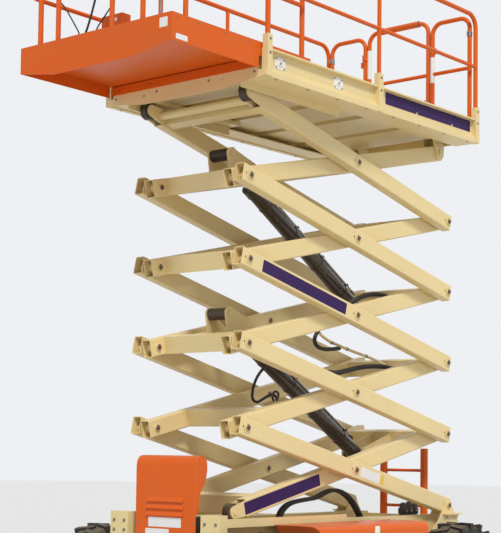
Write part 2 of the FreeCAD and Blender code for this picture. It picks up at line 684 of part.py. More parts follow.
def front_axle():
    half = AXLE_BEAM / 2
    yoke_in = KINGPIN_Y - KINGPIN_RADIUS * 2
    beam = box(-half, half, -yoke_in, yoke_in, -half, half)
    seats = [box(-half, half, side * INNER_LANE_Y - ARM_WIDTH / 2, side * INNER_LANE_Y + ARM_WIDTH / 2,
                 half, RAIL_BOTTOM - AXLE_Z) for side in (-1, 1)]
    yokes = []
    for side in (-1, 1):
        y0, y1 = sorted((side * (yoke_in - YOKE_PLATE), side * yoke_in))
        yokes.append(box(-half, half, y0, y1, -YOKE_HALF_HEIGHT, YOKE_HALF_HEIGHT))
        e0, e1 = sorted((side * (yoke_in - YOKE_PLATE), side * KINGPIN_Y))
        eye_y = side * KINGPIN_Y
        for z0 in (-YOKE_HALF_HEIGHT, YOKE_HALF_HEIGHT - YOKE_PLATE):
            z1 = z0 + YOKE_PLATE
            yokes.append(box(-KINGPIN_RADIUS, KINGPIN_RADIUS, e0, e1, z0, z1))
            yokes.append(bar((0, eye_y, z0), (0, eye_y, z1), KINGPIN_RADIUS))
    shape = join([beam] + seats + yokes)
    shape.translate(V(FRONT_AXLE_X, 0, AXLE_Z))
    return shape


def knuckle(side):
    post_half = YOKE_HALF_HEIGHT - YOKE_PLATE - RUN_GAP
    post = bar((0, KINGPIN_Y, -post_half), (0, KINGPIN_Y, post_half), KINGPIN_RADIUS - 1)
    neck = box(-55, 55, KINGPIN_Y, HUB_START_Y + 1, -60, 60)
    arm = plate([(0, KINGPIN_Y - 28), (-TIE_ARM, KINGPIN_Y - 28), (-TIE_ARM - 28, KINGPIN_Y),
                 (-TIE_ARM, KINGPIN_Y + 28), (0, KINGPIN_Y + 28)], -60, -35, "z")
    return move_to_wheel(join([post, neck, hub(HUB_START_Y), arm]), FRONT_AXLE_X, side)


def tie_rod():
    """Track rod behind the front axle; its eyes sit just over the knuckle arms."""
    x = FRONT_AXLE_X - TIE_ARM
    z = AXLE_Z - 35 + RUN_GAP
    ends = [bar((x, side * KINGPIN_Y, z), (x, side * KINGPIN_Y, z + 40), 26) for side in (-1, 1)]
    return join([bar((x, -KINGPIN_Y, z + 20), (x, KINGPIN_Y, z + 20), 18)] + ends)


# Chassis

def chassis_rails():
    """Main box rails, each with the lower roller track on its front half."""
    rail = box(RAIL_REAR_X, RAIL_FRONT_X, INNER_IN, INNER_OUT, RAIL_BOTTOM, RAIL_TOP_Z)
    hollow = box(RAIL_REAR_X - 1, RAIL_FRONT_X + 1, INNER_IN + ARM_WALL * 2, INNER_OUT - ARM_WALL * 2,
                 RAIL_BOTTOM + ARM_WALL * 2, RAIL_TOP_Z - ARM_WALL * 2)
    track = box(TRACK_REAR_X, RAIL_FRONT_X, INNER_IN, INNER_OUT, RAIL_TOP_Z, TRACK_TOP)
    return both_sides(join([rail.cut(hollow), track]))


def track_guards():
    """Angle outboard of each roller track: a shelf on the rail and an upstanding lip."""
    shelf_z = RAIL_TOP_Z - GUARD_PLATE * 2
    lip = OUTER_OUT - GUARD_PLATE
    profile = [(INNER_OUT, shelf_z), (OUTER_OUT, shelf_z), (OUTER_OUT, GUARD_TOP), (lip, GUARD_TOP),
               (lip, RAIL_TOP_Z), (INNER_OUT, RAIL_TOP_Z)]
    return both_sides(plate(profile, GUARD_REAR_X, RAIL_FRONT_X, "x"))


def tie_holes(y0, y1):
    return [pin(x, y0 - 1, y1 + 1, FENDER_TOP - TIE_HOLE_DROP, TIE_HOLE_RADIUS) for x in TIE_HOLE_X]


def base_brackets():
    """U brackets around the base pins, open above for the arm's end."""
    inner0, inner1 = INNER_OUT, OUTER_IN - BRACKET_GAP
    outer0 = OUTER_OUT + BRACKET_GAP
    low = RAIL_BOTTOM + 60
    shoulder = RAIL_TOP_Z - 60
    side_view = [(-BRACKET_HALF, low), (BRACKET_HALF, low), (BRACKET_HALF, shoulder),
                 (BRACKET_RADIUS, BASE_PIN_Z), (-BRACKET_RADIUS, BASE_PIN_Z), (-BRACKET_HALF, shoulder)]
    cheeks = []
    for y0, y1 in ((inner0, inner1), (outer0, FENDER_IN_Y)):
        cheeks += [plate(side_view, y0, y1), pin(0, y0, y1, BASE_PIN_Z, BRACKET_RADIUS)]
    floor = box(-BRACKET_HALF, BRACKET_HALF, inner0, FENDER_IN_Y, low, low + BRACKET_PLATE * 2)
    bracket = join(cheeks + [floor])
    holes = [pin(0, INNER_OUT - 1, FENDER_IN_Y + 1, BASE_PIN_Z, PIN_RADIUS + PIN_FIT)]
    for hole in holes + tie_holes(outer0, FENDER_IN_Y):
        bracket = bracket.cut(hole)
    return both_sides(bracket)


def cross_members():
    """Beams between the rails, and the block on each rail's front end."""
    low = RAIL_BOTTOM + 20
    members = [(x, x + MEMBER_LENGTH, low + MEMBER_HEIGHT) for x in MEMBER_X]
    members.append((RAIL_REAR_X, RAIL_REAR_X + REAR_MEMBER_LENGTH, RAIL_TOP_Z - 20))
    members.append((FRONT_MEMBER_X - 80, FRONT_MEMBER_X, RAIL_TOP_Z - 40))
    beams = [box(x0, x1, -INNER_IN, INNER_IN, low, top) for x0, x1, top in members]
    block = box(RAIL_FRONT_X, CHASSIS_FRONT_X, INNER_IN + 10, OUTER_OUT, RAIL_BOTTOM, GUARD_TOP + 30)
    return group(beams + [block, mirror_y(block)])


def rear_fenders():
    """Cream plate with a folded top on the outside of each base bracket, bored for tie-downs."""
    outer = FENDER_IN_Y + FENDER_PLATE
    outline = [(x, FENDER_TOP - drop) for x, drop in FENDER_OUTLINE]
    upright = plate(outline, FENDER_IN_Y, outer)
    rear, front = outline[0][0], outline[1][0]
    flange = box(rear, front, outer - 1, FENDER_IN_Y + FENDER_LIP, FENDER_TOP - FENDER_PLATE, FENDER_TOP)
    shape = join([upright, flange])
    for hole in tie_holes(FENDER_IN_Y, outer):
        shape = shape.cut(hole)
    return both_sides(shape)


def bonnet():
    """Front cover: deep rounded head with louvre ribs over a shallower lower panel."""
    low = GUARD_TOP + 20
    half = BONNET_HALF_WIDTH
    block = box(BONNET_REAR_X, BONNET_FRONT_X, -half, half, low, BONNET_TOP)
    at_front = BONNET_FRONT_X - 1
    at_top = BONNET_TOP - 1
    front_top = round_edges(block, BONNET_CROWN, lambda at: at.x > at_front and at.z > at_top)
    side_tops = round_edges(block, BONNET_SIDE_ROUND, lambda at: abs(at.y) > half - 1 and at.z > at_top)
    corners = round_edges(block, BONNET_SIDE_ROUND, lambda at: abs(at.y) > half - 1 and at.x > at_front)
    head = front_top.common(side_tops).common(corners)
    rib_half = half - 2 * BONNET_SIDE_ROUND
    rib_z = BONNET_TOP - BONNET_CROWN - LOUVRE_PITCH
    ribs = [bar((BONNET_FRONT_X, -rib_half, rib_z - index * LOUVRE_PITCH),
                (BONNET_FRONT_X, rib_half, rib_z - index * LOUVRE_PITCH), LOUVRE_RADIUS)
            for index in range(LOUVRE_COUNT)]
    lower = box(FRONT_MEMBER_X, BONNET_FRONT_X, 20 - half, half - 20, RAIL_BOTTOM, low + 1)
    return join([head, lower] + ribs)


def cover_skin(x0, x1, inset):
    """Solid block under a side cover's sheet, its outer top edge rounded."""
    low = HOOD_BOTTOM if inset == 0 else HOOD_BOTTOM - 1
    inner = HOOD_IN_Y if inset == 0 else HOOD_IN_Y - 1
    outer, top = HOOD_OUT_Y - inset, HOOD_TOP - inset
    return round_edges(box(x0, x1, inner, outer, low, top), HOOD_ROUND - inset,
                       lambda at: at.y > outer - 1 and at.z > top - 1)


def rear_covers():
    """Fixed cover behind each hood: top, outer wall and rear end."""
    front = HOOD_SPLIT_X - HOOD_SPLIT_GAP
    inside = cover_skin(HOOD_REAR_X + HOOD_SHEET, front + 1, HOOD_SHEET)
    return both_sides(cover_skin(HOOD_REAR_X, front, 0).cut(inside))


def hood(side):
    """Side hood: top, outer wall and front end cut to the wheel arch, open at the rear cover."""
    far = HOOD_OUT_Y + 100
    arch = pin(FRONT_AXLE_X, 0, far, AXLE_Z, ARCH_RADIUS)
    arch_in = pin(FRONT_AXLE_X, 0, far, AXLE_Z, ARCH_RADIUS + HOOD_SHEET)
    inside = cover_skin(HOOD_SPLIT_X - 1, HOOD_FRONT_X - HOOD_SHEET, HOOD_SHEET).cut(arch_in)
    shell = cover_skin(HOOD_SPLIT_X, HOOD_FRONT_X, 0).cut(inside).cut(arch)
    for x in hinge_places():
        for post_x in hinge_posts(x):
            shell = shell.cut(box(post_x - HINGE_NOTCH, post_x + TRAY_PLATE + HINGE_NOTCH, HOOD_IN_Y - 1,
                                  HOOD_IN_Y + 22, HOOD_TOP - 30, HOOD_TOP + 1))
    knuckles = [bar((x, HOOD_IN_Y, HINGE_Z), (x + HINGE_KNUCKLE_LENGTH, HOOD_IN_Y, HINGE_Z),
                    HINGE_KNUCKLE_RADIUS) for x in hinge_places()]
    shell = join([shell] + knuckles)
    shell = shell.cut(bar((HOOD_SPLIT_X - 1, HOOD_IN_Y, HINGE_Z), (HOOD_FRONT_X + 1, HOOD_IN_Y, HINGE_Z),
                          HINGE_PIN_RADIUS + PIN_FIT))
    return shell if side > 0 else mirror_y(shell)


def hinge_places():
    return [HOOD_SPLIT_X + setback for setback in HINGE_SETBACK]


def hinge_posts(x):
    """Rear faces of the two posts either side of a hinge knuckle that starts at x."""
    return x - HINGE_POST_GAP - TRAY_PLATE, x + HINGE_KNUCKLE_LENGTH + HINGE_POST_GAP


def side_trays():
    """Shelf under each cover, hung from the rail, with the posts that carry the hinge pins."""
    top = HOOD_BOTTOM + TRAY_PLATE
    rear, front = HOOD_REAR_X + HOOD_SHEET, HOOD_SPLIT_X - HOOD_SPLIT_GAP
    parts = [box(rear, front, INNER_OUT, HOOD_OUT_Y - HOOD_SHEET, HOOD_BOTTOM, top),
             box(front, SHELF_FRONT_X, INNER_OUT, HOOD_OUT_Y - SHELF_INSET, HOOD_BOTTOM, top)]
    face = HOOD_IN_Y - 20
    tip = HOOD_IN_Y + 12
    post = [(INNER_OUT, HOOD_BOTTOM), (face, HOOD_BOTTOM), (face, HOOD_TOP - 40), (tip, HOOD_TOP - 26),
            (tip, HOOD_TOP - 6), (face, HOOD_TOP - 6), (HOOD_IN_Y - 60, HOOD_TOP - 60),
            (INNER_OUT, RAIL_TOP_Z - 120)]
    for x in hinge_places():
        ends = hinge_posts(x)
        parts += [plate(post, post_x, post_x + TRAY_PLATE, "x") for post_x in ends]
        ends_at = ends[1] + TRAY_PLATE
        parts.append(bar((ends[0], HOOD_IN_Y, HINGE_Z), (ends_at, HOOD_IN_Y, HINGE_Z), HINGE_PIN_RADIUS))
    return both_sides(join(parts))


def unit_box(size):
    """Block on the left shelf, starting inside the rear cover."""
    outer = HOOD_OUT_Y - UNIT_SIDE_GAP
    shelf = HOOD_BOTTOM + TRAY_PLATE
    x = HOOD_REAR_X + UNIT_INSET
    return box(x, x + size[0], outer - size[1], outer, shelf, shelf + size[2])


def engine_block():
    return mirror_y(unit_box(ENGINE_SIZE))


def fluid_tank():
    return unit_box(TANK_SIZE)


def ladder():
    x = -REAR_REACH + LADDER_TUBE
    uprights = []
    stays = []
    for side in (-1, 1):
        y = side * LADDER_HALF_WIDTH
        uprights.append(bar((x, y, LADDER_BOTTOM), (x, y, LADDER_TOP), LADDER_TUBE))
        for z in (RAIL_BOTTOM + LADDER_STAY, RAIL_TOP_Z - 2 * LADDER_STAY):
            stays.append(box(x, RAIL_REAR_X, y - 20, y + 20, z, z + LADDER_STAY))
    rungs = []
    z = FIRST_RUNG
    while z < LADDER_TOP:
        rungs.append(bar((x, -LADDER_HALF_WIDTH, z), (x, LADDER_HALF_WIDTH, z), RUNG_RADIUS))
        z += RUNG_PITCH
    return join(uprights + rungs + stays)


def valve_block():
    body = box(90, 330, -60, 60, 0, 150)
    body.translate(V(0, INNER_IN - 110, RAIL_BOTTOM + 200))
    foot = box(60, 380, INNER_IN - 190, INNER_IN, RAIL_BOTTOM + 180, RAIL_BOTTOM + 200)
    return join([body, foot])


# Platform

def side_channels():
    web = CHANNEL_WEB_Y
    back = CHANNEL_WEB_Y + CHANNEL_WEB
    out = CHANNEL_OUT_Y
    lip_z = CHANNEL_TOP - CHANNEL_LIP
    profile = [(web, CHANNEL_BOTTOM), (out, CHANNEL_BOTTOM), (out, CHANNEL_BOTTOM + CHANNEL_FLANGE),
               (back, CHANNEL_BOTTOM + CHANNEL_HAUNCH), (back, lip_z), (out, lip_z), (out, CHANNEL_TOP),
               (web, CHANNEL_TOP)]
    parts = [plate(profile, DECK_REAR_X, PANEL_FRONT_X, "x")]
    half = SOCKET_WIDTH / 2
    for x in POST_X:
        front = min(x + half, PANEL_FRONT_X)
        parts.append(box(x - half, front, back - 1, SOCKET_OUT_Y, CHANNEL_BOTTOM + 4, SOCKET_TOP))
    return both_sides(join(parts))


def deck_crossbeams():
    """Wide folded pans under the floor, and the ledge that closes each side of the deck."""
    top, low, wall = FLOOR_BOTTOM, track_top(), CROSSBEAM_WALL
    wide = CROSSBEAM_WIDTH / 2
    flange = wide + CROSSBEAM_FLANGE
    profile = [(-flange, top), (-flange, top - wall), (-wide, top - wall), (-wide, low), (wide, low),
               (wide, top - wall), (flange, top - wall), (flange, top), (wide - wall, top),
               (wide - wall, low + wall), (wall - wide, low + wall), (wall - wide, top)]
    pans = []
    for index in range(CROSSBEAM_COUNT):
        middle = CROSSBEAM_FIRST + index * CROSSBEAM_PITCH
        pans.append(plate([(middle + x, z) for x, z in profile], -CROSSBEAM_HALF, CROSSBEAM_HALF))
    ledge = box(DECK_REAR_X, PANEL_FRONT_X, DECK_TRACK_OUT_Y + KEEPER_PLATE, CHANNEL_WEB_Y,
                LEDGE_TOP - LEDGE_PLATE, LEDGE_TOP)
    return group(pans + [ledge, mirror_y(ledge)])


def track_top():
    return level(TIERS) + ROLLER_RADIUS + ROLLER_GAP + DECK_TRACK_PLATE


def deck_tracks():
    """Upper roller tracks with their keepers, and the plates that hold the top inner arms."""
    top = track_top()
    keeper_y = DECK_TRACK_OUT_Y + KEEPER_PLATE
    track = box(TRACK_REAR_X, PANEL_FRONT_X, OUTER_IN - 5, keeper_y, top - DECK_TRACK_PLATE, top)
    keeper = box(TRACK_REAR_X, PANEL_FRONT_X, DECK_TRACK_OUT_Y, keeper_y, top - KEEPER_DROP, top)
    tracks = join([track, keeper])
    return group([tracks, mirror_y(tracks)] + pivot_brackets())


def pivot_plate_lanes():
    """|y| of both plates that hold a top pivot pin: inner plate, then outer plate."""
    inner = INNER_IN - BRACKET_GAP
    outer = INNER_OUT + BRACKET_GAP
    return inner - PIVOT_PLATE, inner, outer, outer + PIVOT_PLATE


def pivot_brackets():
    """Rounded plates under the rear of the deck that hold the top inner arms."""
    y = pivot_plate_lanes()
    pin_z = level(TIERS)
    side, drop = PIVOT_NOSE * 0.94, PIVOT_NOSE * 0.34
    outline = [(DECK_REAR_X, FLOOR_BOTTOM), (PIVOT_FRONT_X, FLOOR_BOTTOM), (side, pin_z - drop),
               (-side, pin_z - drop), (DECK_REAR_X, rear_plate_low())]
    plates = []
    for y0, y1 in ((y[0], y[1]), (y[2], y[3])):
        cheek = join([plate(outline, y0, y1), pin(0, y0, y1, pin_z, PIVOT_NOSE)])
        plates.append(cheek.cut(pin(0, y0 - 1, y1 + 1, pin_z, PIN_RADIUS + PIN_FIT)))
    return plates + [mirror_y(shape) for shape in plates]


def deck_floor():
    """Main floor in two panels, the front one with the wear pads the roll-out deck slides on."""
    rear = box(SILL_FRONT_X, SPLIT_X, -CROSSBEAM_HALF, CROSSBEAM_HALF, FLOOR_BOTTOM, DECK_TOP)
    front = box(SPLIT_X, PANEL_FRONT_X, -CROSSBEAM_HALF, CROSSBEAM_HALF, FLOOR_BOTTOM, DECK_TOP)
    pad_x = PANEL_FRONT_X - PAD_LENGTH
    pads = [wear_pad(pad_x, side, DECK_TOP - 1, TRAY_FLOOR - PAD_GAP) for side in (-1, 1)]
    return group([rear, join([front] + pads)])


def wear_pad(x, side, z0, z1):
    y0, y1 = sorted((side * (CROSSBEAM_HALF - PAD_WIDTH), side * CROSSBEAM_HALF))
    return box(x, x + PAD_LENGTH, y0, y1, z0, z1)


def rear_plate_low():
    """Lower edge of the rear deck plate, over the swing of the top arms' tube ends."""
    return level(TIERS) + HALF_HEIGHT


def deck_ends():
    """Bent front plate with two holes, and the rear plate with the sill the hoops stand on."""
    step, corner = TRAY_BOTTOM - SLIDE_GAP, DECK_TOP - FRONT_PLATE_CORNER
    half = [(CROSSBEAM_HALF, DECK_TOP), (CROSSBEAM_HALF, step), (CHANNEL_OUT_Y, step),
            (CHANNEL_OUT_Y, corner), (TRAY_BEND_Y, DECK_TOP - FRONT_PLATE_LOW)]
    front = plate(half + [(-y, z) for y, z in reversed(half)], PANEL_FRONT_X, DECK_FRONT_X, "x")
    for side in (-1, 1):
        y, z = side * END_HOLE_Y, DECK_TOP - END_HOLE_DROP
        front = front.cut(bar((PANEL_FRONT_X - 1, y, z), (DECK_FRONT_X + 1, y, z), END_HOLE_RADIUS))
    rear = box(DECK_REAR_X - END_PLATE, DECK_REAR_X, -CHANNEL_OUT_Y, CHANNEL_OUT_Y, rear_plate_low(),
               CHANNEL_TOP)
    sill = box(DECK_REAR_X - 1, SILL_FRONT_X, -CHANNEL_WEB_Y, CHANNEL_WEB_Y, FLOOR_BOTTOM, DECK_TOP)
    return group([front, join([rear, sill])])


def slide_bar():
    """Bar across the front plate, under the roll-out deck."""
    bar_front = DECK_FRONT_X + SLIDE_BAR_PLATE
    top = DECK_TOP + SLIDE_BAR_RISE
    strip = box(DECK_FRONT_X, bar_front, -CROSSBEAM_HALF, CROSSBEAM_HALF, DECK_TOP - SLIDE_BAR_DROP, top)
    return round_edges(strip, SLIDE_BAR_PLATE / 2, lambda at: at.x > bar_front - 1 and at.z > top - 1)


def side_rails():
    """Each side's handrail: hoop over the end posts, middle post and middle rail."""
    y = POST_Y
    rear, middle, front = POST_X
    hoop = tube_path([(rear, y, SOCKET_TOP), (rear, y, RAIL_TOP), (front, y, RAIL_TOP),
                      (front, y, SOCKET_TOP)], RAIL_TUBE, RAIL_BEND)
    post = bar((middle, y, SOCKET_TOP), (middle, y, RAIL_TOP), MID_TUBE)
    return both_sides(weld(hoop + [post, bar((rear, y, RAIL_MID), (front, y, RAIL_MID), MID_TUBE - 1)]))


def rear_rails():
    """Hoops either side of the gate, standing on the sill."""
    inner, outer = GATE_HALF_WIDTH + GATE_GAP, CHANNEL_WEB_Y - HOOP_GAP - RAIL_TUBE
    hoop = tube_path([(GATE_X, inner, DECK_TOP), (GATE_X, inner, RAIL_TOP), (GATE_X, outer, RAIL_TOP),
                      (GATE_X, outer, DECK_TOP)], RAIL_TUBE, GATE_BEND)
    return both_sides(weld(hoop + [bar((GATE_X, inner, RAIL_MID), (GATE_X, outer, RAIL_MID), MID_TUBE)]))


def gate():
    """Entry gate: hooped frame, thick hand bar, and two sleeves that turn on the hoop post."""
    half = GATE_HALF_WIDTH - RAIL_TUBE
    frame = tube_path([(GATE_X, -half, GATE_BOTTOM), (GATE_X, -half, GATE_TOP), (GATE_X, half, GATE_TOP),
                       (GATE_X, half, GATE_BOTTOM)], RAIL_TUBE, GATE_BEND)
    sill = bar((GATE_X, -half, GATE_BOTTOM + RAIL_TUBE), (GATE_X, half, GATE_BOTTOM + RAIL_TUBE), MID_TUBE)
    middle = bar((GATE_X, -half, RAIL_MID), (GATE_X, half, RAIL_MID), MID_TUBE)
    grip_y = half - GATE_BEND
    grip = bar((GATE_X, -grip_y, GATE_TOP), (GATE_X, grip_y, GATE_TOP), RAIL_TUBE + GRIP_WALL)
    hinge_y = -GATE_HALF_WIDTH - GATE_GAP
    sleeves = []
    for lift in SLEEVE_LIFT:
        z = DECK_TOP + lift
        top = z + SLEEVE_HEIGHT
        sleeves.append(bar((GATE_X, hinge_y, z), (GATE_X, hinge_y, top), RAIL_TUBE + SLEEVE_WALL))
    post = bar((GATE_X, hinge_y, GATE_BOTTOM), (GATE_X, hinge_y, GATE_TOP), RAIL_TUBE + PIN_FIT)
    return weld(frame + [sill, middle, grip] + sleeves).cut(post)


# Roll-out deck

def tray():
    """Floor, deep side plates and the bent front plate of the roll-out deck."""
    side_in = TRAY_SIDE_Y - TRAY_SHEET
    back = TRAY_FRONT_X - TRAY_SHEET
    floor = box(TRAY_REAR_X, back, -side_in, side_in, TRAY_FLOOR, TRAY_FLOOR + TRAY_SHEET)
    side_view = [(TRAY_REAR_X, TRAY_FLOOR), (TRAY_REAR_X, TRAY_TOP), (TRAY_FRONT_X, TRAY_TOP),
                 (TRAY_FRONT_X, TRAY_BOTTOM), (TRAY_DEEP_X, TRAY_BOTTOM), (TRAY_DEEP_X, TRAY_FLOOR)]
    half = [(TRAY_SIDE_Y, TRAY_TOP), (TRAY_SIDE_Y, TRAY_BOTTOM), (TRAY_BEND_Y, TRAY_MID_BOTTOM)]
    front = plate(half + [(-y, z) for y, z in reversed(half)], back, TRAY_FRONT_X, "x")
    sides = [plate(side_view, side_in, TRAY_SIDE_Y), plate(side_view, -TRAY_SIDE_Y, -side_in)]
    pads = [wear_pad(TRAY_REAR_X, side, DECK_TOP + PAD_GAP, TRAY_FLOOR + 1) for side in (-1, 1)]
    return join([floor, front] + sides + pads)


def tray_rails():
    """Handrails of the roll-out deck: two sides and the front."""
    y = TRAY_POST_Y - RAIL_TUBE / 2
    deck = TRAY_FLOOR + TRAY_SHEET
    top, mid = TRAY_RAIL_TOP, TRAY_RAIL_MID
    front_x = TRAY_FRONT_X - TRAY_SHEET - RAIL_TUBE
    rear_x, near_x = TRAY_POST_X
    loop = tube_path([(rear_x, y, deck), (rear_x, y, top), (front_x, y, top), (front_x, -y, top),
                      (rear_x, -y, top), (rear_x, -y, deck)], RAIL_TUBE, RAIL_BEND)
    middle = tube_path([(rear_x, y, mid), (front_x, y, mid), (front_x, -y, mid), (rear_x, -y, mid)],
                       MID_TUBE, RAIL_BEND)
    posts = [bar((near_x, side * y, deck), (near_x, side * y, top), RAIL_TUBE - 1) for side in (-1, 1)]
    posts += [bar((front_x, post_y, deck), (front_x, post_y, top), RAIL_TUBE - 1) for post_y in FRONT_POST_Y]
    return weld(loop + middle + posts)


def control_box():
    deep, wide, tall = CONTROL_BOX
    x1 = TRAY_FRONT_X - TRAY_SHEET - 2 * RAIL_TUBE
    return box(x1 - deep, x1, CONTROL_BOX_Y - wide / 2, CONTROL_BOX_Y + wide / 2, TRAY_RAIL_TOP - tall,
               TRAY_RAIL_TOP)


SUB_PARTS = {}
for tier in range(1, TIERS + 1):
    SUB_PARTS["outer_arms_%d" % tier] = outer_arms(tier)
    SUB_PARTS["inner_arms_%d" % tier] = inner_arms(tier)
    SUB_PARTS["inner_beams_%d" % tier] = inner_beams(tier)
SUB_PARTS["base_rollers"] = base_rollers()
SUB_PARTS["deck_rollers"] = deck_rollers()
for pair, place in enumerate(("lower", "upper")):
    SUB_PARTS["barrel_" + place] = cylinder_barrel(pair)
    SUB_PARTS["rod_" + place] = cylinder_rod(pair)
for name, axle_x, side in (("front_left", FRONT_AXLE_X, 1), ("front_right", FRONT_AXLE_X, -1),
                           ("rear_left", REAR_AXLE_X, 1), ("rear_right", REAR_AXLE_X, -1)):
    SUB_PARTS["tyre_" + name] = tyre(axle_x, side)
    SUB_PARTS["rim_" + name] = rim(axle_x, side)
for name, side in (("left", 1), ("right", -1)):
    SUB_PARTS["knuckle_" + name] = knuckle(side)
    SUB_PARTS["hood_" + name] = hood(side)
for make in (rear_axle, front_axle, tie_rod, chassis_rails, track_guards, base_brackets, cross_members,
             rear_fenders, bonnet, rear_covers, side_trays, engine_block, fluid_tank, ladder, valve_block,
             side_channels, deck_crossbeams, deck_tracks, deck_floor, deck_ends, slide_bar, side_rails,
             rear_rails, gate, tray, tray_rails, control_box):
    SUB_PARTS[make.__name__] = make()

os.makedirs("parts", exist_ok=True)
for name, shape in SUB_PARTS.items():
    shape = shape.copy()
    shape.translate(V(-MIDDLE_X, 0, 0))
    shape.exportStep("parts/%s.step" % name)
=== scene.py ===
import json
import math

import bmesh
import bpy
from mathutils import Matrix, Vector


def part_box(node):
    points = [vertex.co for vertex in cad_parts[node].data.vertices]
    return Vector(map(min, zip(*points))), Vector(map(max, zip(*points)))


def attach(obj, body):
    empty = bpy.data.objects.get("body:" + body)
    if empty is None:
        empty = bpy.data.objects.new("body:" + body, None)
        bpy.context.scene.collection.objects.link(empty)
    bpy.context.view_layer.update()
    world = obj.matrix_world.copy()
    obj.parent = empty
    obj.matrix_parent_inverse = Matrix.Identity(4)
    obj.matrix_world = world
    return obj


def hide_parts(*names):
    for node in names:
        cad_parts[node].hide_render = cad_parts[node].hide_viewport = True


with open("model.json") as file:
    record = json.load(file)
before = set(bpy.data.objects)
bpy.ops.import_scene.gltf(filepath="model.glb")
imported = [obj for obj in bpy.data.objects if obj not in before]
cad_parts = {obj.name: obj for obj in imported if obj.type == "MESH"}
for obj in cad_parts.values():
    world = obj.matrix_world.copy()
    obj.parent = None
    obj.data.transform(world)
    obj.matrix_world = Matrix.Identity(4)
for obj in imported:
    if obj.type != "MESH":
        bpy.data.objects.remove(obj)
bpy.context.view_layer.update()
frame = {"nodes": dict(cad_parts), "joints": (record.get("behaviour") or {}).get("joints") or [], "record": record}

# Looks of a five-tier scissor lift with a roll-out deck. Metres, x forward, y to the
# machine's left, z up. Sizes come from the frame's nodes and joints, or are named here.

bl_info = {
    "name": "Scissor Lift Looks",
    "version": (1, 0, 0),
    "blender": (4, 5, 0),
    "location": "View3D > Sidebar > Scissor Lift",
    "description": "Finishes, small parts, labels, hoses and stage for a scissor lift",
    "category": "Object",
}

# Places read from the frame

JOINTS = {joint["name"]: joint for joint in frame["joints"]}
TIERS = sum(1 for name in JOINTS if name.startswith("centre_pin_"))
UP = Vector((0, 0, 1))


def joint_place(name):
    return Vector(JOINTS[name]["pos_m"])


BASE_PIN = joint_place("lift")
CENTRE_PIN = joint_place("centre_pin_1")
HALF_ARM = (CENTRE_PIN - BASE_PIN).length
ARM_RISE = math.atan2(CENTRE_PIN.z - BASE_PIN.z, CENTRE_PIN.x - BASE_PIN.x)
TIER_HEIGHT = 2 * (CENTRE_PIN.z - BASE_PIN.z)
FRONT_X = 2 * CENTRE_PIN.x - BASE_PIN.x


def outer_point(tier, along, normal=0.0, y=0.0):
    """A point on an outer arm, measured from its rear pin."""
    return Vector((BASE_PIN.x + along * math.cos(ARM_RISE) - normal * math.sin(ARM_RISE), y,
                   BASE_PIN.z + (tier - 1) * TIER_HEIGHT
                   + along * math.sin(ARM_RISE) + normal * math.cos(ARM_RISE)))


def inner_point(tier, along, normal=0.0, y=0.0):
    """A point on an inner arm, measured from its front pin."""
    return Vector((FRONT_X - along * math.cos(ARM_RISE) + normal * math.sin(ARM_RISE), y,
                   BASE_PIN.z + (tier - 1) * TIER_HEIGHT
                   + along * math.sin(ARM_RISE) + normal * math.cos(ARM_RISE)))


def spot(x, y, z):
    """A place measured forward from the rear base pins, with y and z as they are."""
    return Vector((BASE_PIN.x + x, y, z))


def srgb(red, green, blue):
    """A colour written as 0 to 255 display values, as linear values."""
    return tuple(((c / 255 + 0.055) / 1.055) ** 2.4 if c > 10 else c / 255 / 12.92
                 for c in (red, green, blue))


# Settings that a user can change

def colour(name, description, red, green, blue):
    return bpy.props.FloatVectorProperty(name=name, description=description, subtype="COLOR",
                                         default=srgb(red, green, blue), min=0, max=1)


def size(name, description, value):
    return bpy.props.FloatProperty(name=name, description=description, default=value, unit="LENGTH")


class LiftPaint(bpy.types.PropertyGroup):
    cream: colour("Cream enamel", "Arms, chassis and main deck", 232, 209, 152)
    orange: colour("Orange enamel", "Rails, roll-out deck, hoods and bonnet", 220, 93, 5)
    strip: colour("Strip", "Blank dark strips on the arms and the deck", 52, 26, 84)
    label: colour("Label", "Blank pale labels", 232, 232, 230)
    barrel: colour("Cylinder enamel", "Barrels of the lift cylinders", 44, 34, 30)
    rubber: colour("Rubber", "Tyres and hoses", 38, 37, 36)
    dust: colour("Dust", "Dust on upward faces and in corners", 176, 160, 128)
    dust_amount: bpy.props.FloatProperty(name="Dust amount", description="How dusty the machine is",
                                         default=0.22, min=0, max=1)


class LiftSizes(bpy.types.PropertyGroup):
    pin_cap: size("Pin cap radius", "Collar round each pin's end", 0.032)
    bolt: size("Bolt radius", "Across the corners of a common bolt head, halved", 0.010)
    label_thickness: size("Label thickness", "Strips and labels", 0.0012)
    hose: size("Hose radius", "Hydraulic hoses on the stack", 0.011)


class LiftStage(bpy.types.PropertyGroup):
    floor: colour("Floor", "Plain pale floor", 226, 226, 224)
    sun: bpy.props.FloatProperty(name="Sun", description="Strength of the main light", default=2.3, min=0)
    sky: bpy.props.FloatProperty(name="Sky", description="Strength of the soft light all round",
                                 default=0.56, min=0)
    camera_place: bpy.props.FloatVectorProperty(name="Camera", description="Where the camera stands",
                                                subtype="TRANSLATION", unit="LENGTH",
                                                default=(10.0514, 8.3235, 1.5977))


def settings():
    scene = bpy.context.scene
    return scene.lift_paint, scene.lift_sizes, scene.lift_stage


# Shapes

def aim(point, direction, spin=0.0):
    """Places a shape made about the z axis at a point, its z axis along a direction."""
    turn = Vector(direction).to_track_quat("Z", "Y").to_matrix().to_4x4()
    return Matrix.Translation(Vector(point)) @ turn @ Matrix.Rotation(spin, 4, "Z")


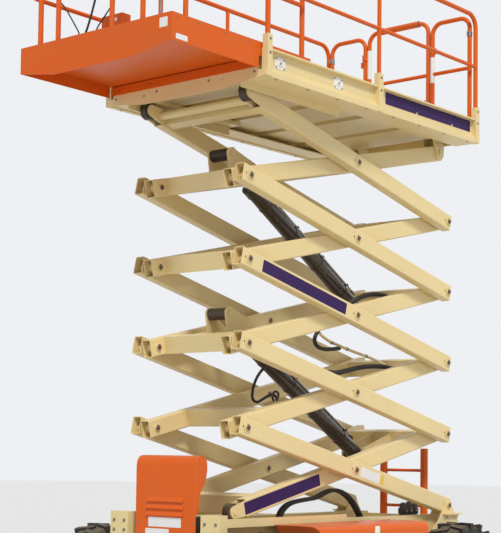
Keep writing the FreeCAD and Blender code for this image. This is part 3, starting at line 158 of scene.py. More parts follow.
def add_disc(bm, point, direction, radius, height, segments=24, top=None, spin=0.0):
    """A closed cylinder or cone frustum that stands on a point."""
    place = aim(point, direction, spin) @ Matrix.Translation((0, 0, height / 2))
    return bmesh.ops.create_cone(bm, cap_ends=True, segments=segments, radius1=radius,
                                 radius2=radius if top is None else top, depth=height, matrix=place)["verts"]


def add_ring(bm, point, direction, outer, inner, height, segments=32):
    """A flat ring with a square edge, spun about its axis."""
    place = aim(point, direction)
    corners = [(inner, 0), (outer, 0), (outer, height), (inner, height)]
    verts = [bm.verts.new((radius, 0, z)) for radius, z in corners]
    edges = [bm.edges.new((verts[i], verts[(i + 1) % 4])) for i in range(4)]
    made = bmesh.ops.spin(bm, geom=verts + edges, cent=(0, 0, 0), axis=UP, angle=math.tau,
                          steps=segments, use_merge=True)
    loose = {v for v in made["geom_last"] if isinstance(v, bmesh.types.BMVert)} | set(verts)
    seen = set()
    todo = [v for v in loose if v.is_valid]
    while todo:
        vert = todo.pop()
        if vert in seen:
            continue
        seen.add(vert)
        todo.extend(edge.other_vert(vert) for edge in vert.link_edges)
    bmesh.ops.transform(bm, matrix=place, verts=list(seen))
    return list(seen)


def add_box(bm, low, high, matrix=None):
    low, high = Vector(low), Vector(high)
    place = Matrix.Translation((low + high) / 2) @ Matrix.Diagonal((high - low).to_4d())
    if matrix is not None:
        place = matrix @ place
    return bmesh.ops.create_cube(bm, size=1, matrix=place)["verts"]


def add_bolt(bm, point, direction, radius, spin=0.0):
    """A washer and a six-sided head."""
    direction = Vector(direction).normalized()
    add_disc(bm, point, direction, radius * 1.5, radius * 0.25, 20)
    add_disc(bm, Vector(point) + direction * radius * 0.25, direction, radius, radius * 0.75, 6, spin=spin)


def finish_piece(name, bm, body, material, bevel=0.0, smooth=35.0, segments=2, replaces=()):
    """Turns a bmesh into a piece that rides on a body."""
    bmesh.ops.recalc_face_normals(bm, faces=bm.faces)
    mesh = bpy.data.meshes.new(name)
    bm.to_mesh(mesh)
    bm.free()
    mesh.shade_smooth()
    mesh.set_sharp_from_angle(angle=math.radians(smooth))
    piece = bpy.data.objects.new(name, mesh)
    bpy.context.scene.collection.objects.link(piece)
    mesh.materials.append(material)
    if bevel:
        edge = piece.modifiers.new("Edges", "BEVEL")
        edge.width = bevel
        edge.segments = segments
        edge.limit_method = "ANGLE"
        edge.angle_limit = math.radians(30)
        edge.harden_normals = True
    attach(piece, body)
    if replaces:
        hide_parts(*replaces)
    return piece


def hose(name, points, radius, body, material, slot="black_plastic"):
    """A round hose along given points, held at both ends."""
    curve = bpy.data.curves.new(name, "CURVE")
    curve.dimensions = "3D"
    curve.bevel_depth = radius
    curve.bevel_resolution = 4
    curve.resolution_u = 8
    curve.use_fill_caps = True
    line = curve.splines.new("NURBS")
    line.points.add(len(points) - 1)
    for target, point in zip(line.points, points):
        target.co = (*point, 1)
    line.order_u = 3
    line.use_endpoint_u = True
    piece = bpy.data.objects.new(name, curve)
    bpy.context.scene.collection.objects.link(piece)
    curve.materials.append(material)
    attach(piece, body)
    return piece


# Shader groups

def new_group(name, inputs, outputs):
    """An empty shader group with named sockets, and its two end nodes."""
    group = bpy.data.node_groups.new(name, "ShaderNodeTree")
    for socket, kind, default in inputs:
        made = group.interface.new_socket(name=socket, in_out="INPUT", socket_type=kind)
        made.default_value = default
    for socket, kind in outputs:
        group.interface.new_socket(name=socket, in_out="OUTPUT", socket_type=kind)
    start = group.nodes.new("NodeGroupInput")
    end = group.nodes.new("NodeGroupOutput")
    return group, start, end


def node(tree, kind, **values):
    made = tree.nodes.new(kind)
    for key, value in values.items():
        setattr(made, key, value)
    return made


def noise(tree, coords, scale, detail=3.0, stretch=None):
    """A noise factor on object coordinates, squeezed along an axis where stretch is given."""
    if stretch:
        mapping = node(tree, "ShaderNodeMapping")
        mapping.inputs["Scale"].default_value = stretch
        tree.links.new(coords, mapping.inputs["Vector"])
        coords = mapping.outputs["Vector"]
    made = node(tree, "ShaderNodeTexNoise")
    made.inputs["Scale"].default_value = scale
    made.inputs["Detail"].default_value = detail
    tree.links.new(coords, made.inputs["Vector"])
    return made.outputs["Fac"]


def remap(tree, value, low, high, to_low, to_high):
    made = node(tree, "ShaderNodeMapRange")
    for socket, number in zip(("From Min", "From Max", "To Min", "To Max"), (low, high, to_low, to_high)):
        made.inputs[socket].default_value = number
    tree.links.new(value, made.inputs["Value"])
    return made.outputs["Result"]


def math_node(tree, operation, first, second):
    made = node(tree, "ShaderNodeMath", operation=operation)
    for socket, value in zip(made.inputs, (first, second)):
        if isinstance(value, (int, float)):
            socket.default_value = value
        else:
            tree.links.new(value, socket)
    return made.outputs[0]


def mix_colour(tree, factor, first, second, blend="MIX"):
    made = node(tree, "ShaderNodeMix", data_type="RGBA", blend_type=blend)
    for socket, value in (("Factor", factor), ("A", first), ("B", second)):
        targets = [s for s in made.inputs if s.name == socket and s.type == ("VALUE" if socket == "Factor" else "RGBA")]
        if isinstance(value, (int, float)):
            targets[0].default_value = value
        elif isinstance(value, tuple):
            targets[0].default_value = value
        else:
            tree.links.new(value, targets[0])
    return [s for s in made.outputs if s.type == "RGBA"][0]


def make_wear_group():
    """Uneven tone, dust on what faces up, faint runs on upright faces and a fine skin."""
    group, start, end = new_group("machine_wear", [
        ("Colour", "NodeSocketColor", (0.8, 0.8, 0.8, 1)),
        ("Dust Colour", "NodeSocketColor", (0.5, 0.45, 0.35, 1)),
        ("Dust", "NodeSocketFloat", 0.2),
        ("Mottle", "NodeSocketFloat", 0.08),
        ("Roughness", "NodeSocketFloat", 0.4),
    ], [("Colour", "NodeSocketColor"), ("Roughness", "NodeSocketFloat"), ("Height", "NodeSocketFloat")])
    coords = node(group, "ShaderNodeTexCoord").outputs["Object"]
    broad = noise(group, coords, 2.2, 4)
    fine = noise(group, coords, 38, 3)
    skin = noise(group, coords, 420, 2)
    runs = noise(group, coords, 5, 4, stretch=(6, 6, 0.35))
    tone = remap(group, broad, 0.3, 0.7, 0.0, 1.0)
    darker = mix_colour(group, math_node(group, "MULTIPLY", tone, start.outputs["Mottle"]),
                        start.outputs["Colour"], (0.30, 0.22, 0.14, 1), "MIX")
    normal = node(group, "ShaderNodeSeparateXYZ")
    geometry = node(group, "ShaderNodeNewGeometry")
    group.links.new(geometry.outputs["Normal"], normal.inputs["Vector"])
    facing = remap(group, normal.outputs["Z"], 0.5, 1.0, 0.0, 1.0)
    patchy = remap(group, broad, 0.35, 0.65, 0.35, 1.0)
    speck = remap(group, fine, 0.35, 0.7, 0.5, 1.0)
    cover = math_node(group, "MULTIPLY", math_node(group, "MULTIPLY", facing, patchy), speck)
    streak = math_node(group, "MULTIPLY", remap(group, runs, 0.58, 0.80, 0.0, 0.45),
                       math_node(group, "SUBTRACT", 1.0, facing))
    dust = math_node(group, "MULTIPLY", math_node(group, "MAXIMUM", cover, streak), start.outputs["Dust"])
    dusty = mix_colour(group, dust, darker, start.outputs["Dust Colour"])
    group.links.new(dusty, end.inputs["Colour"])
    uneven = math_node(group, "MULTIPLY", remap(group, fine, 0.3, 0.7, 0.85, 1.2), start.outputs["Roughness"])
    rough = math_node(group, "ADD", uneven, math_node(group, "MULTIPLY", dust, 0.5))
    group.links.new(rough, end.inputs["Roughness"])
    height = math_node(group, "ADD", math_node(group, "MULTIPLY", skin, 0.35), math_node(group, "MULTIPLY", fine, 0.65))
    group.links.new(height, end.inputs["Height"])
    return group


def make_tread_group():
    """Raised lozenges of chequer plate, as a height and a mask."""
    group, start, end = new_group("chequer_plate", [("Pitch", "NodeSocketFloat", 26.0)],
                                  [("Height", "NodeSocketFloat")])
    coords = node(group, "ShaderNodeTexCoord").outputs["Object"]
    turned = []
    for angle in (45, -45):
        mapping = node(group, "ShaderNodeMapping")
        mapping.inputs["Rotation"].default_value = (0, 0, math.radians(angle))
        group.links.new(coords, mapping.inputs["Vector"])
        axes = node(group, "ShaderNodeSeparateXYZ")
        group.links.new(mapping.outputs["Vector"], axes.inputs["Vector"])
        long = math_node(group, "SINE", math_node(group, "MULTIPLY", axes.outputs["X"],
                                                  math_node(group, "MULTIPLY", start.outputs["Pitch"], 3.1416)), 0)
        short = math_node(group, "SINE", math_node(group, "MULTIPLY", axes.outputs["Y"],
                                                   math_node(group, "MULTIPLY", start.outputs["Pitch"], 9.4248)), 0)
        turned.append(math_node(group, "MULTIPLY", remap(group, long, 0.2, 0.9, 0, 1), remap(group, short, 0.2, 0.9, 0, 1)))
    group.links.new(math_node(group, "MAXIMUM", turned[0], turned[1]), end.inputs["Height"])
    return group


# Materials

WEAR_GROUP = "machine_wear"
TREAD_GROUP = "chequer_plate"


def base_material(name, tint, roughness, metallic=0.0, dust=None, mottle=0.08, bump=0.15, bump_scale=0.002,
                  coat=0.0, specular=0.5):
    """A worn surface of one colour; returns the material, its shader and its wear group."""
    paint, _, _ = settings()
    material = bpy.data.materials.new(name)
    material.use_nodes = True
    tree = material.node_tree
    shader = tree.nodes["Principled BSDF"]
    wear = node(tree, "ShaderNodeGroup", node_tree=bpy.data.node_groups[WEAR_GROUP])
    wear.inputs["Colour"].default_value = (*tint, 1)
    wear.inputs["Dust Colour"].default_value = (*paint.dust, 1)
    wear.inputs["Dust"].default_value = paint.dust_amount if dust is None else dust
    wear.inputs["Mottle"].default_value = mottle
    wear.inputs["Roughness"].default_value = roughness
    skin = node(tree, "ShaderNodeBump")
    skin.inputs["Strength"].default_value = bump
    skin.inputs["Distance"].default_value = bump_scale
    tree.links.new(wear.outputs["Height"], skin.inputs["Height"])
    tree.links.new(wear.outputs["Colour"], shader.inputs["Base Color"])
    tree.links.new(wear.outputs["Roughness"], shader.inputs["Roughness"])
    tree.links.new(skin.outputs["Normal"], shader.inputs["Normal"])
    shader.inputs["Metallic"].default_value = metallic
    shader.inputs["Coat Weight"].default_value = coat
    shader.inputs["Coat Roughness"].default_value = 0.2
    shader.inputs["Specular IOR Level"].default_value = specular
    return material, shader, skin


def deck_material(name, tint):
    """Painted chequer plate."""
    material, shader, skin = base_material(name, tint, 0.5, bump=0.2)
    tree = material.node_tree
    pattern = node(tree, "ShaderNodeGroup", node_tree=bpy.data.node_groups[TREAD_GROUP])
    pattern.inputs["Pitch"].default_value = 22.0
    lugs = node(tree, "ShaderNodeBump")
    lugs.inputs["Strength"].default_value = 0.7
    lugs.inputs["Distance"].default_value = 0.003
    tree.links.new(pattern.outputs["Height"], lugs.inputs["Height"])
    tree.links.new(skin.outputs["Normal"], lugs.inputs["Normal"])
    tree.links.new(lugs.outputs["Normal"], shader.inputs["Normal"])
    return material


def make_materials():
    paint, _, _ = settings()
    make_wear_group()
    make_tread_group()
    made = {
        "cream_paint": base_material("cream_enamel", paint.cream, 0.40, coat=0.12, specular=0.4)[0],
        "orange_paint": base_material("orange_enamel", paint.orange, 0.36, coat=0.1, specular=0.2, dust=0.12)[0],
        "deck_plate": deck_material("deck_plate", paint.cream),
        "orange_deck": deck_material("orange_deck", paint.orange),
        "tyre_rubber": base_material("tyre_rubber", paint.rubber, 0.75, dust=0.5, mottle=0.1, bump=0.5)[0],
        "wheel_paint": base_material("wheel_enamel", paint.cream, 0.4, dust=0.35)[0],
        "dark_steel": base_material("oiled_steel", srgb(52, 46, 44), 0.42, metallic=0.5, mottle=0.3)[0],
        "barrel_paint": base_material("cylinder_enamel", paint.barrel, 0.30, coat=0.5, dust=0.1)[0],
        "rod_chrome": base_material("ground_chrome", srgb(214, 214, 216), 0.12, metallic=1.0, dust=0.02,
                                    mottle=0.02, bump=0.02)[0],
        "black_plastic": base_material("black_plastic", srgb(30, 30, 31), 0.5, dust=0.15)[0],
        "engine_iron": base_material("engine_iron", srgb(84, 86, 88), 0.6, metallic=0.3, mottle=0.35, bump=0.5)[0],
        "dark_bolt": base_material("dark_bolt", srgb(118, 102, 92), 0.42, metallic=0.6, mottle=0.4)[0],
        "red_plastic": base_material("red_plastic", srgb(190, 22, 18), 0.3, dust=0.05)[0],
        "yellow_film": base_material("yellow_film", srgb(228, 188, 58), 0.35, dust=0.08, mottle=0.05, bump=0.03)[0],
        "bright_pipe": base_material("bright_pipe", srgb(196, 196, 194), 0.25, metallic=0.9, dust=0.05)[0],
        "zinc_bolt": base_material("zinc_bolt", srgb(150, 146, 138), 0.35, metallic=0.9, mottle=0.25)[0],
        "strip_film": base_material("strip_film", paint.strip, 0.45, dust=0.03, mottle=0.03, bump=0.03, specular=0.15)[0],
        "label_film": base_material("label_film", paint.label, 0.35, dust=0.08, mottle=0.05, bump=0.03)[0],
        "hose_rubber": base_material("hose_rubber", srgb(24, 24, 25), 0.5, dust=0.2, bump=0.3)[0],
        "grip_foam": base_material("grip_foam", srgb(70, 74, 78), 0.85, dust=0.1, bump=0.6)[0],
        "white_plate": base_material("white_plate", srgb(238, 236, 228), 0.35, dust=0.1)[0],
    }
    return made


MATERIALS = {}


def paint_nodes():
    """Gives every node of the frame the material of its slot."""
    for part in frame["record"]["subparts"]:
        piece = frame["nodes"][part["node"]]
        piece.data.materials.clear()
        piece.data.materials.append(MATERIALS[part["material_slot"]])


class LIFT_OT_paint(bpy.types.Operator):
    """Make the materials and paint every sub-part of the frame"""
    bl_idname = "lift.paint"
    bl_label = "Paint"

    def execute(self, context):
        MATERIALS.update(make_materials())
        paint_nodes()
        return {"FINISHED"}


# Places on the frame's nodes

OUTER_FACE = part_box("track_guards")[1].y
PIN_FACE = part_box("outer_arms_2")[1].y
INNER_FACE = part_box("inner_arms_2")[1].y
PIN_INSIDE = INNER_FACE - (PIN_FACE - OUTER_FACE) - 0.100
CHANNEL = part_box("side_channels")
DECK_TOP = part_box("deck_ends")[1].z - 0.076
WEB_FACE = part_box("deck_crossbeams")[1].y + 0.008
ARM_HALF = 0.0775
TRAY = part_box("tray")
TRAY_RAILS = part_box("tray_rails")
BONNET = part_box("bonnet")
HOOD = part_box("hood_left")
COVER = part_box("rear_covers")
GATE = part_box("gate")
GATE_LINE = (GATE[0].x + GATE[1].x) / 2
SOCKET_FACE = CHANNEL[1].y
BOTH = (1, -1)


def arm_matrix(origin, slope):
    """Local x along an arm, z square to it."""
    return Matrix.Translation(origin) @ Matrix.Rotation(-slope, 4, "Y")


def outer_matrix(tier, along, y):
    return arm_matrix(outer_point(tier, along, 0, y), ARM_RISE)


def inner_matrix(tier, along, y):
    return arm_matrix(inner_point(tier, along, 0, y), -ARM_RISE)


# Pins

class LIFT_OT_pins(bpy.types.Operator):
    """Collars, caps and bolts on the ends of the scissor pins"""
    bl_idname = "lift.pins"
    bl_label = "Pins"

    def execute(self, context):
        _, sizes, _ = settings()
        for tier in range(1, TIERS + 1):
            alongs = [HALF_ARM]
            if tier > 1:
                alongs.append(0.0)
            if tier < TIERS:
                alongs.append(2 * HALF_ARM)
            collars = bmesh.new()
            bolts = bmesh.new()
            for side in BOTH:
                out = Vector((0, side, 0))
                for along in alongs:
                    face = outer_point(tier, along, 0, side * OUTER_FACE)
                    add_ring(collars, face, out, sizes.pin_cap + 0.016, sizes.pin_cap, 0.005)
                    cap = outer_point(tier, along, 0, side * PIN_FACE)
                    add_disc(bolts, cap, out, sizes.pin_cap - 0.006, 0.004, 28, top=sizes.pin_cap - 0.010)
                    add_bolt(bolts, cap + out * 0.004, out, sizes.bolt * 1.3, spin=0.4)
                    inside = outer_point(tier, along, 0, side * PIN_INSIDE)
                    add_disc(bolts, inside, -out, sizes.pin_cap - 0.006, 0.004, 28, top=sizes.pin_cap - 0.010)
                    add_bolt(bolts, inside - out * 0.004, -out, sizes.bolt * 1.3, spin=0.4)
                    keeper = outer_point(tier, along + 0.052, 0, side * OUTER_FACE)
                    add_disc(bolts, keeper, out, 0.007, 0.005, 6, spin=0.2)
            finish_piece("pin_collars_%d" % tier, collars, "outer_%d" % tier,
                         MATERIALS["cream_paint"], bevel=0.0012)
            finish_piece("pin_bolts_%d" % tier, bolts, "outer_%d" % tier, MATERIALS["dark_bolt"],
                         bevel=0.001)
        bracket = bmesh.new()
        caps = bmesh.new()
        for side in BOTH:
            out = Vector((0, side, 0))
            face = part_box("outer_arms_1")[1].y
            base = Vector((BASE_PIN.x, side * face, BASE_PIN.z))
            add_disc(caps, base, out, 0.024, 0.003, 28)
            add_bolt(caps, base + out * 0.003, out, sizes.bolt)
            for x, z in ((-0.12, 0.76), (0.12, 0.76), (-0.12, 0.86), (0.12, 0.86)):
                add_bolt(bracket, spot(x, side * (OUTER_FACE + 0.017), z), out, sizes.bolt)
        finish_piece("bracket_bolts", bracket, "chassis", MATERIALS["dark_bolt"], bevel=0.001)
        finish_piece("base_pin_bolts", caps, "outer_1", MATERIALS["dark_bolt"], bevel=0.001)
        return {"FINISHED"}


# Strips and labels, all blank

def label(name, matrix, length, height, body, material, slot, thickness=None, corner=0.006):
    """A thin blank plate: local x along it, z up it, y out of the surface."""
    _, sizes, _ = settings()
    thick = sizes.label_thickness if thickness is None else thickness
    bm = bmesh.new()
    add_box(bm, (-length / 2, 0, -height / 2), (length / 2, thick, height / 2))
    upright = [edge for edge in bm.edges if abs((edge.verts[0].co - edge.verts[1].co).y) > thick / 2]
    bmesh.ops.bevel(bm, geom=upright, offset=corner, offset_type="OFFSET", segments=4, profile=0.5,
                    affect="EDGES", material=-1)
    bmesh.ops.transform(bm, matrix=matrix, verts=bm.verts)
    return finish_piece(name, bm, body, MATERIALS[material])


def facing_right(point):
    return Matrix.Translation(point) @ Matrix.Rotation(math.pi, 4, "Z")


def facing_front(point):
    return Matrix.Translation(point) @ Matrix.Rotation(-math.pi / 2, 4, "Z")


class LIFT_OT_labels(bpy.types.Operator):
    """Blank strips and labels on the arms, the deck and the covers"""
    bl_idname = "lift.labels"
    bl_label = "Strips and Labels"

    def execute(self, context):
        web_z = DECK_TOP + 0.002
        label("strip_channel_left", Matrix.Translation(spot(0.74, WEB_FACE, web_z)), 1.44, 0.112, "platform",
              "strip_film", "cream_paint")
        label("strip_channel_right", facing_right(spot(0.74, -WEB_FACE, web_z)), 1.44, 0.112, "platform",
              "strip_film", "cream_paint")
        label("strip_outer_3", outer_matrix(3, 2.32, OUTER_FACE), 1.20, 0.104, "outer_3", "strip_film", "cream_paint")
        label("strip_outer_3_right", outer_matrix(3, 2.32, -OUTER_FACE) @ Matrix.Rotation(math.pi, 4, "Z"), 1.20,
              0.104, "outer_3", "strip_film", "cream_paint")
        label("strip_inner_1", inner_matrix(1, 0.64, INNER_FACE), 1.04, 0.104, "inner_1", "strip_film",
              "cream_paint")
        label("label_outer_1", outer_matrix(1, 1.32, OUTER_FACE), 0.30, 0.088, "outer_1", "label_film",
              "cream_paint")
        label("label_outer_1_small", outer_matrix(1, 1.13, OUTER_FACE), 0.05, 0.088, "outer_1", "yellow_film",
              "cream_paint")
        front = TRAY[1].x
        label("label_tray_front", facing_front(Vector((front - 0.0011, 0.775, DECK_TOP + 0.055))), 0.085,
              0.075, "extension", "label_film", "orange_paint")
        for side in BOTH:
            place = Vector((front - 0.11, side * TRAY[1].y, DECK_TOP - 0.055))
            turned = Matrix.Translation(place) if side > 0 else facing_right(place)
            label("label_tray_side_%s" % ("left" if side > 0 else "right"), turned, 0.13, 0.042, "extension",
                  "label_film", "orange_paint")
        nose = BONNET[1].x - 0.016
        for name, y, z, wide, tall, film in (("a", -0.003, 1.000, 0.370, 0.080, "label_film"),
                                             ("b", -0.088, 0.905, 0.267, 0.080, "label_film"),
                                             ("c", 0.190, 0.800, 0.150, 0.060, "yellow_film")):
            label("label_bonnet_" + name, facing_front(Vector((nose, y, z))), wide, tall, "chassis", film,
                  "orange_paint")
        for side in BOTH:
            hand = "left" if side > 0 else "right"
            place = Vector((COVER[0].x + 0.22, side * COVER[1].y, COVER[1].z - 0.17))
            turned = Matrix.Translation(place) if side > 0 else facing_right(place)
            label("label_cover_" + hand, turned, 0.16, 0.10, "chassis", "label_film", "orange_paint")
            place = Vector((HOOD[0].x + 0.30, side * HOOD[1].y, HOOD[1].z - 0.16))
            turned = Matrix.Translation(place) if side > 0 else facing_right(place)
            label("label_hood_" + hand, turned, 0.20, 0.07, "hood_" + hand, "yellow_film", "orange_paint")
        return {"FINISHED"}


# Main deck

class LIFT_OT_deck(bpy.types.Operator):
    """Lashing plates, socket bolts and edge bolts of the main deck"""
    bl_idname = "lift.deck"
    bl_label = "Main Deck"

    def execute(self, context):
        _, sizes, _ = settings()
        plates = bmesh.new()
        bolts = bmesh.new()
        for side in BOTH:
            out = Vector((0, side, 0))
            for x in (2.972, 2.173):
                middle = spot(x, side * WEB_FACE, DECK_TOP - 0.012)
                low = middle - Vector((0.066, 0, 0.050))
                high = middle + Vector((0.066, 0, 0.050)) + out * 0.006
                add_box(plates, [min(a, b) for a, b in zip(low, high)], [max(a, b) for a, b in zip(low, high)])
                add_ring(plates, middle + out * 0.006, out, 0.024, 0.012, 0.008)
                add_disc(bolts, middle + out * 0.006, out, 0.0115, 0.010, 20, top=0.008)
                for dx in (-0.050, 0.050):
                    for dz in (-0.036, 0.036):
                        add_bolt(bolts, middle + Vector((dx, 0, dz)) + out * 0.006, out, 0.006)
            for x in (-0.037, 1.600, 3.160):
                for z in (0.035, 0.150):
                    add_bolt(bolts, spot(x, side * SOCKET_FACE, DECK_TOP + z), out, 0.008)
        finish_piece("lashing_plates", plates, "platform", MATERIALS["white_plate"], bevel=0.002)
        for x in [0.10 + 0.42 * step for step in range(8)]:
            for side in BOTH:
                add_bolt(bolts, spot(x, side * (WEB_FACE + 0.020), DECK_TOP - 0.160), (0, 0, -1), 0.007)
        finish_piece("deck_bolts", bolts, "platform", MATERIALS["zinc_bolt"], bevel=0.0008)
        front = bmesh.new()
        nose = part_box("deck_ends")[1].x
        for y in (-0.80, -0.30, 0.30, 0.80):
            add_bolt(front, Vector((nose, y, DECK_TOP - 0.11)), (1, 0, 0), 0.007)
        for y in (-0.74, -0.37, 0.0, 0.37, 0.74):
            add_bolt(front, Vector((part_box("slide_bar")[1].x, y, DECK_TOP - 0.04)), (1, 0, 0), 0.006)
        finish_piece("front_plate_bolts", front, "platform", MATERIALS["zinc_bolt"], bevel=0.0008)
        welds = bmesh.new()
        for side in BOTH:
            out = Vector((0, side, 0))
            for x in (0.35, 0.95, 2.55):
                add_disc(welds, spot(x, side * WEB_FACE, DECK_TOP - 0.045), out, 0.010, 0.002, 20)
        finish_piece("deck_plugs", welds, "platform", MATERIALS["cream_paint"])
        return {"FINISHED"}


# Gate

class LIFT_OT_gate(bpy.types.Operator):
    """Foam grip, latch and hinge trim of the entry gate, and the blank tags beside it"""
    bl_idname = "lift.gate"
    bl_label = "Gate"

    def execute(self, context):
        top = GATE[1].z - 0.032
        grip = bmesh.new()
        add_disc(grip, Vector((GATE_LINE, -0.262, top)), (0, 1, 0), 0.0305, 0.524, 32)
        lengthwise = [edge for edge in grip.edges if abs((edge.verts[0].co - edge.verts[1].co).y) > 0.4]
        bmesh.ops.subdivide_edges(grip, edges=lengthwise, cuts=24)
        for vert in grip.verts:
            along = vert.co.y / 0.262
            away = Vector((vert.co.x - GATE_LINE, 0, vert.co.z - top))
            swell = 1.0 - 0.30 * max(0.0, abs(along) - 0.9) * 10 + 0.015 * math.sin(along * 9.0)
            vert.co = Vector((GATE_LINE, vert.co.y, top)) + away * swell
        piece = finish_piece("gate_grip", grip, "gate", MATERIALS["grip_foam"], smooth=50)
        steel = bmesh.new()
        for y in (0.350, -0.350):
            add_ring(steel, Vector((GATE_LINE, y, DECK_TOP + 0.30)), UP, 0.027, 0.0215, 0.045)
        add_box(steel, (GATE_LINE - 0.012, 0.372, DECK_TOP + 0.86), (GATE_LINE + 0.012, 0.388, DECK_TOP + 0.90))
        add_disc(steel, Vector((GATE_LINE, 0.380, DECK_TOP + 0.88)), (0, 1, 0), 0.012, 0.012, 20)
        finish_piece("gate_latch", steel, "gate", MATERIALS["zinc_bolt"], bevel=0.0015)
        tags = bmesh.new()
        bars = bmesh.new()
        add_ring(tags, Vector((GATE_LINE, 0.415, 5.30)), UP, 0.0232, 0.0222, 0.26)
        for y in (0.415, -0.415, 0.848, -0.848):
            add_ring(bars, Vector((GATE_LINE, y, DECK_TOP + 0.001)), UP, 0.038, 0.0222, 0.008)
        finish_piece("post_tags", tags, "platform", MATERIALS["label_film"])
        clamps = bmesh.new()
        for y in (-0.848, 0.848):
            add_ring(clamps, Vector((GATE_LINE, y, 5.700)), UP, 0.0262, 0.0222, 0.050)
            add_box(clamps, (GATE_LINE + 0.022, y - 0.008, 5.706), (GATE_LINE + 0.046, y + 0.008, 5.744))
        finish_piece("hoop_clamps", clamps, "platform", MATERIALS["zinc_bolt"], bevel=0.001)
        gate_tag = bmesh.new()
        add_ring(gate_tag, Vector((GATE_LINE, -0.363, 5.46)), UP, 0.0232, 0.0222, 0.30)
        finish_piece("gate_tag", gate_tag, "gate", MATERIALS["label_film"])
        for y in (0.448, -0.448):
            add_box(bars, (GATE_LINE - 0.006, y - 0.012, DECK_TOP + 0.80), (GATE_LINE + 0.020, y + 0.012, DECK_TOP + 0.86))
        finish_piece("post_feet", bars, "platform", MATERIALS["orange_paint"], bevel=0.0015)
        return {"FINISHED"}


# Roll-out deck

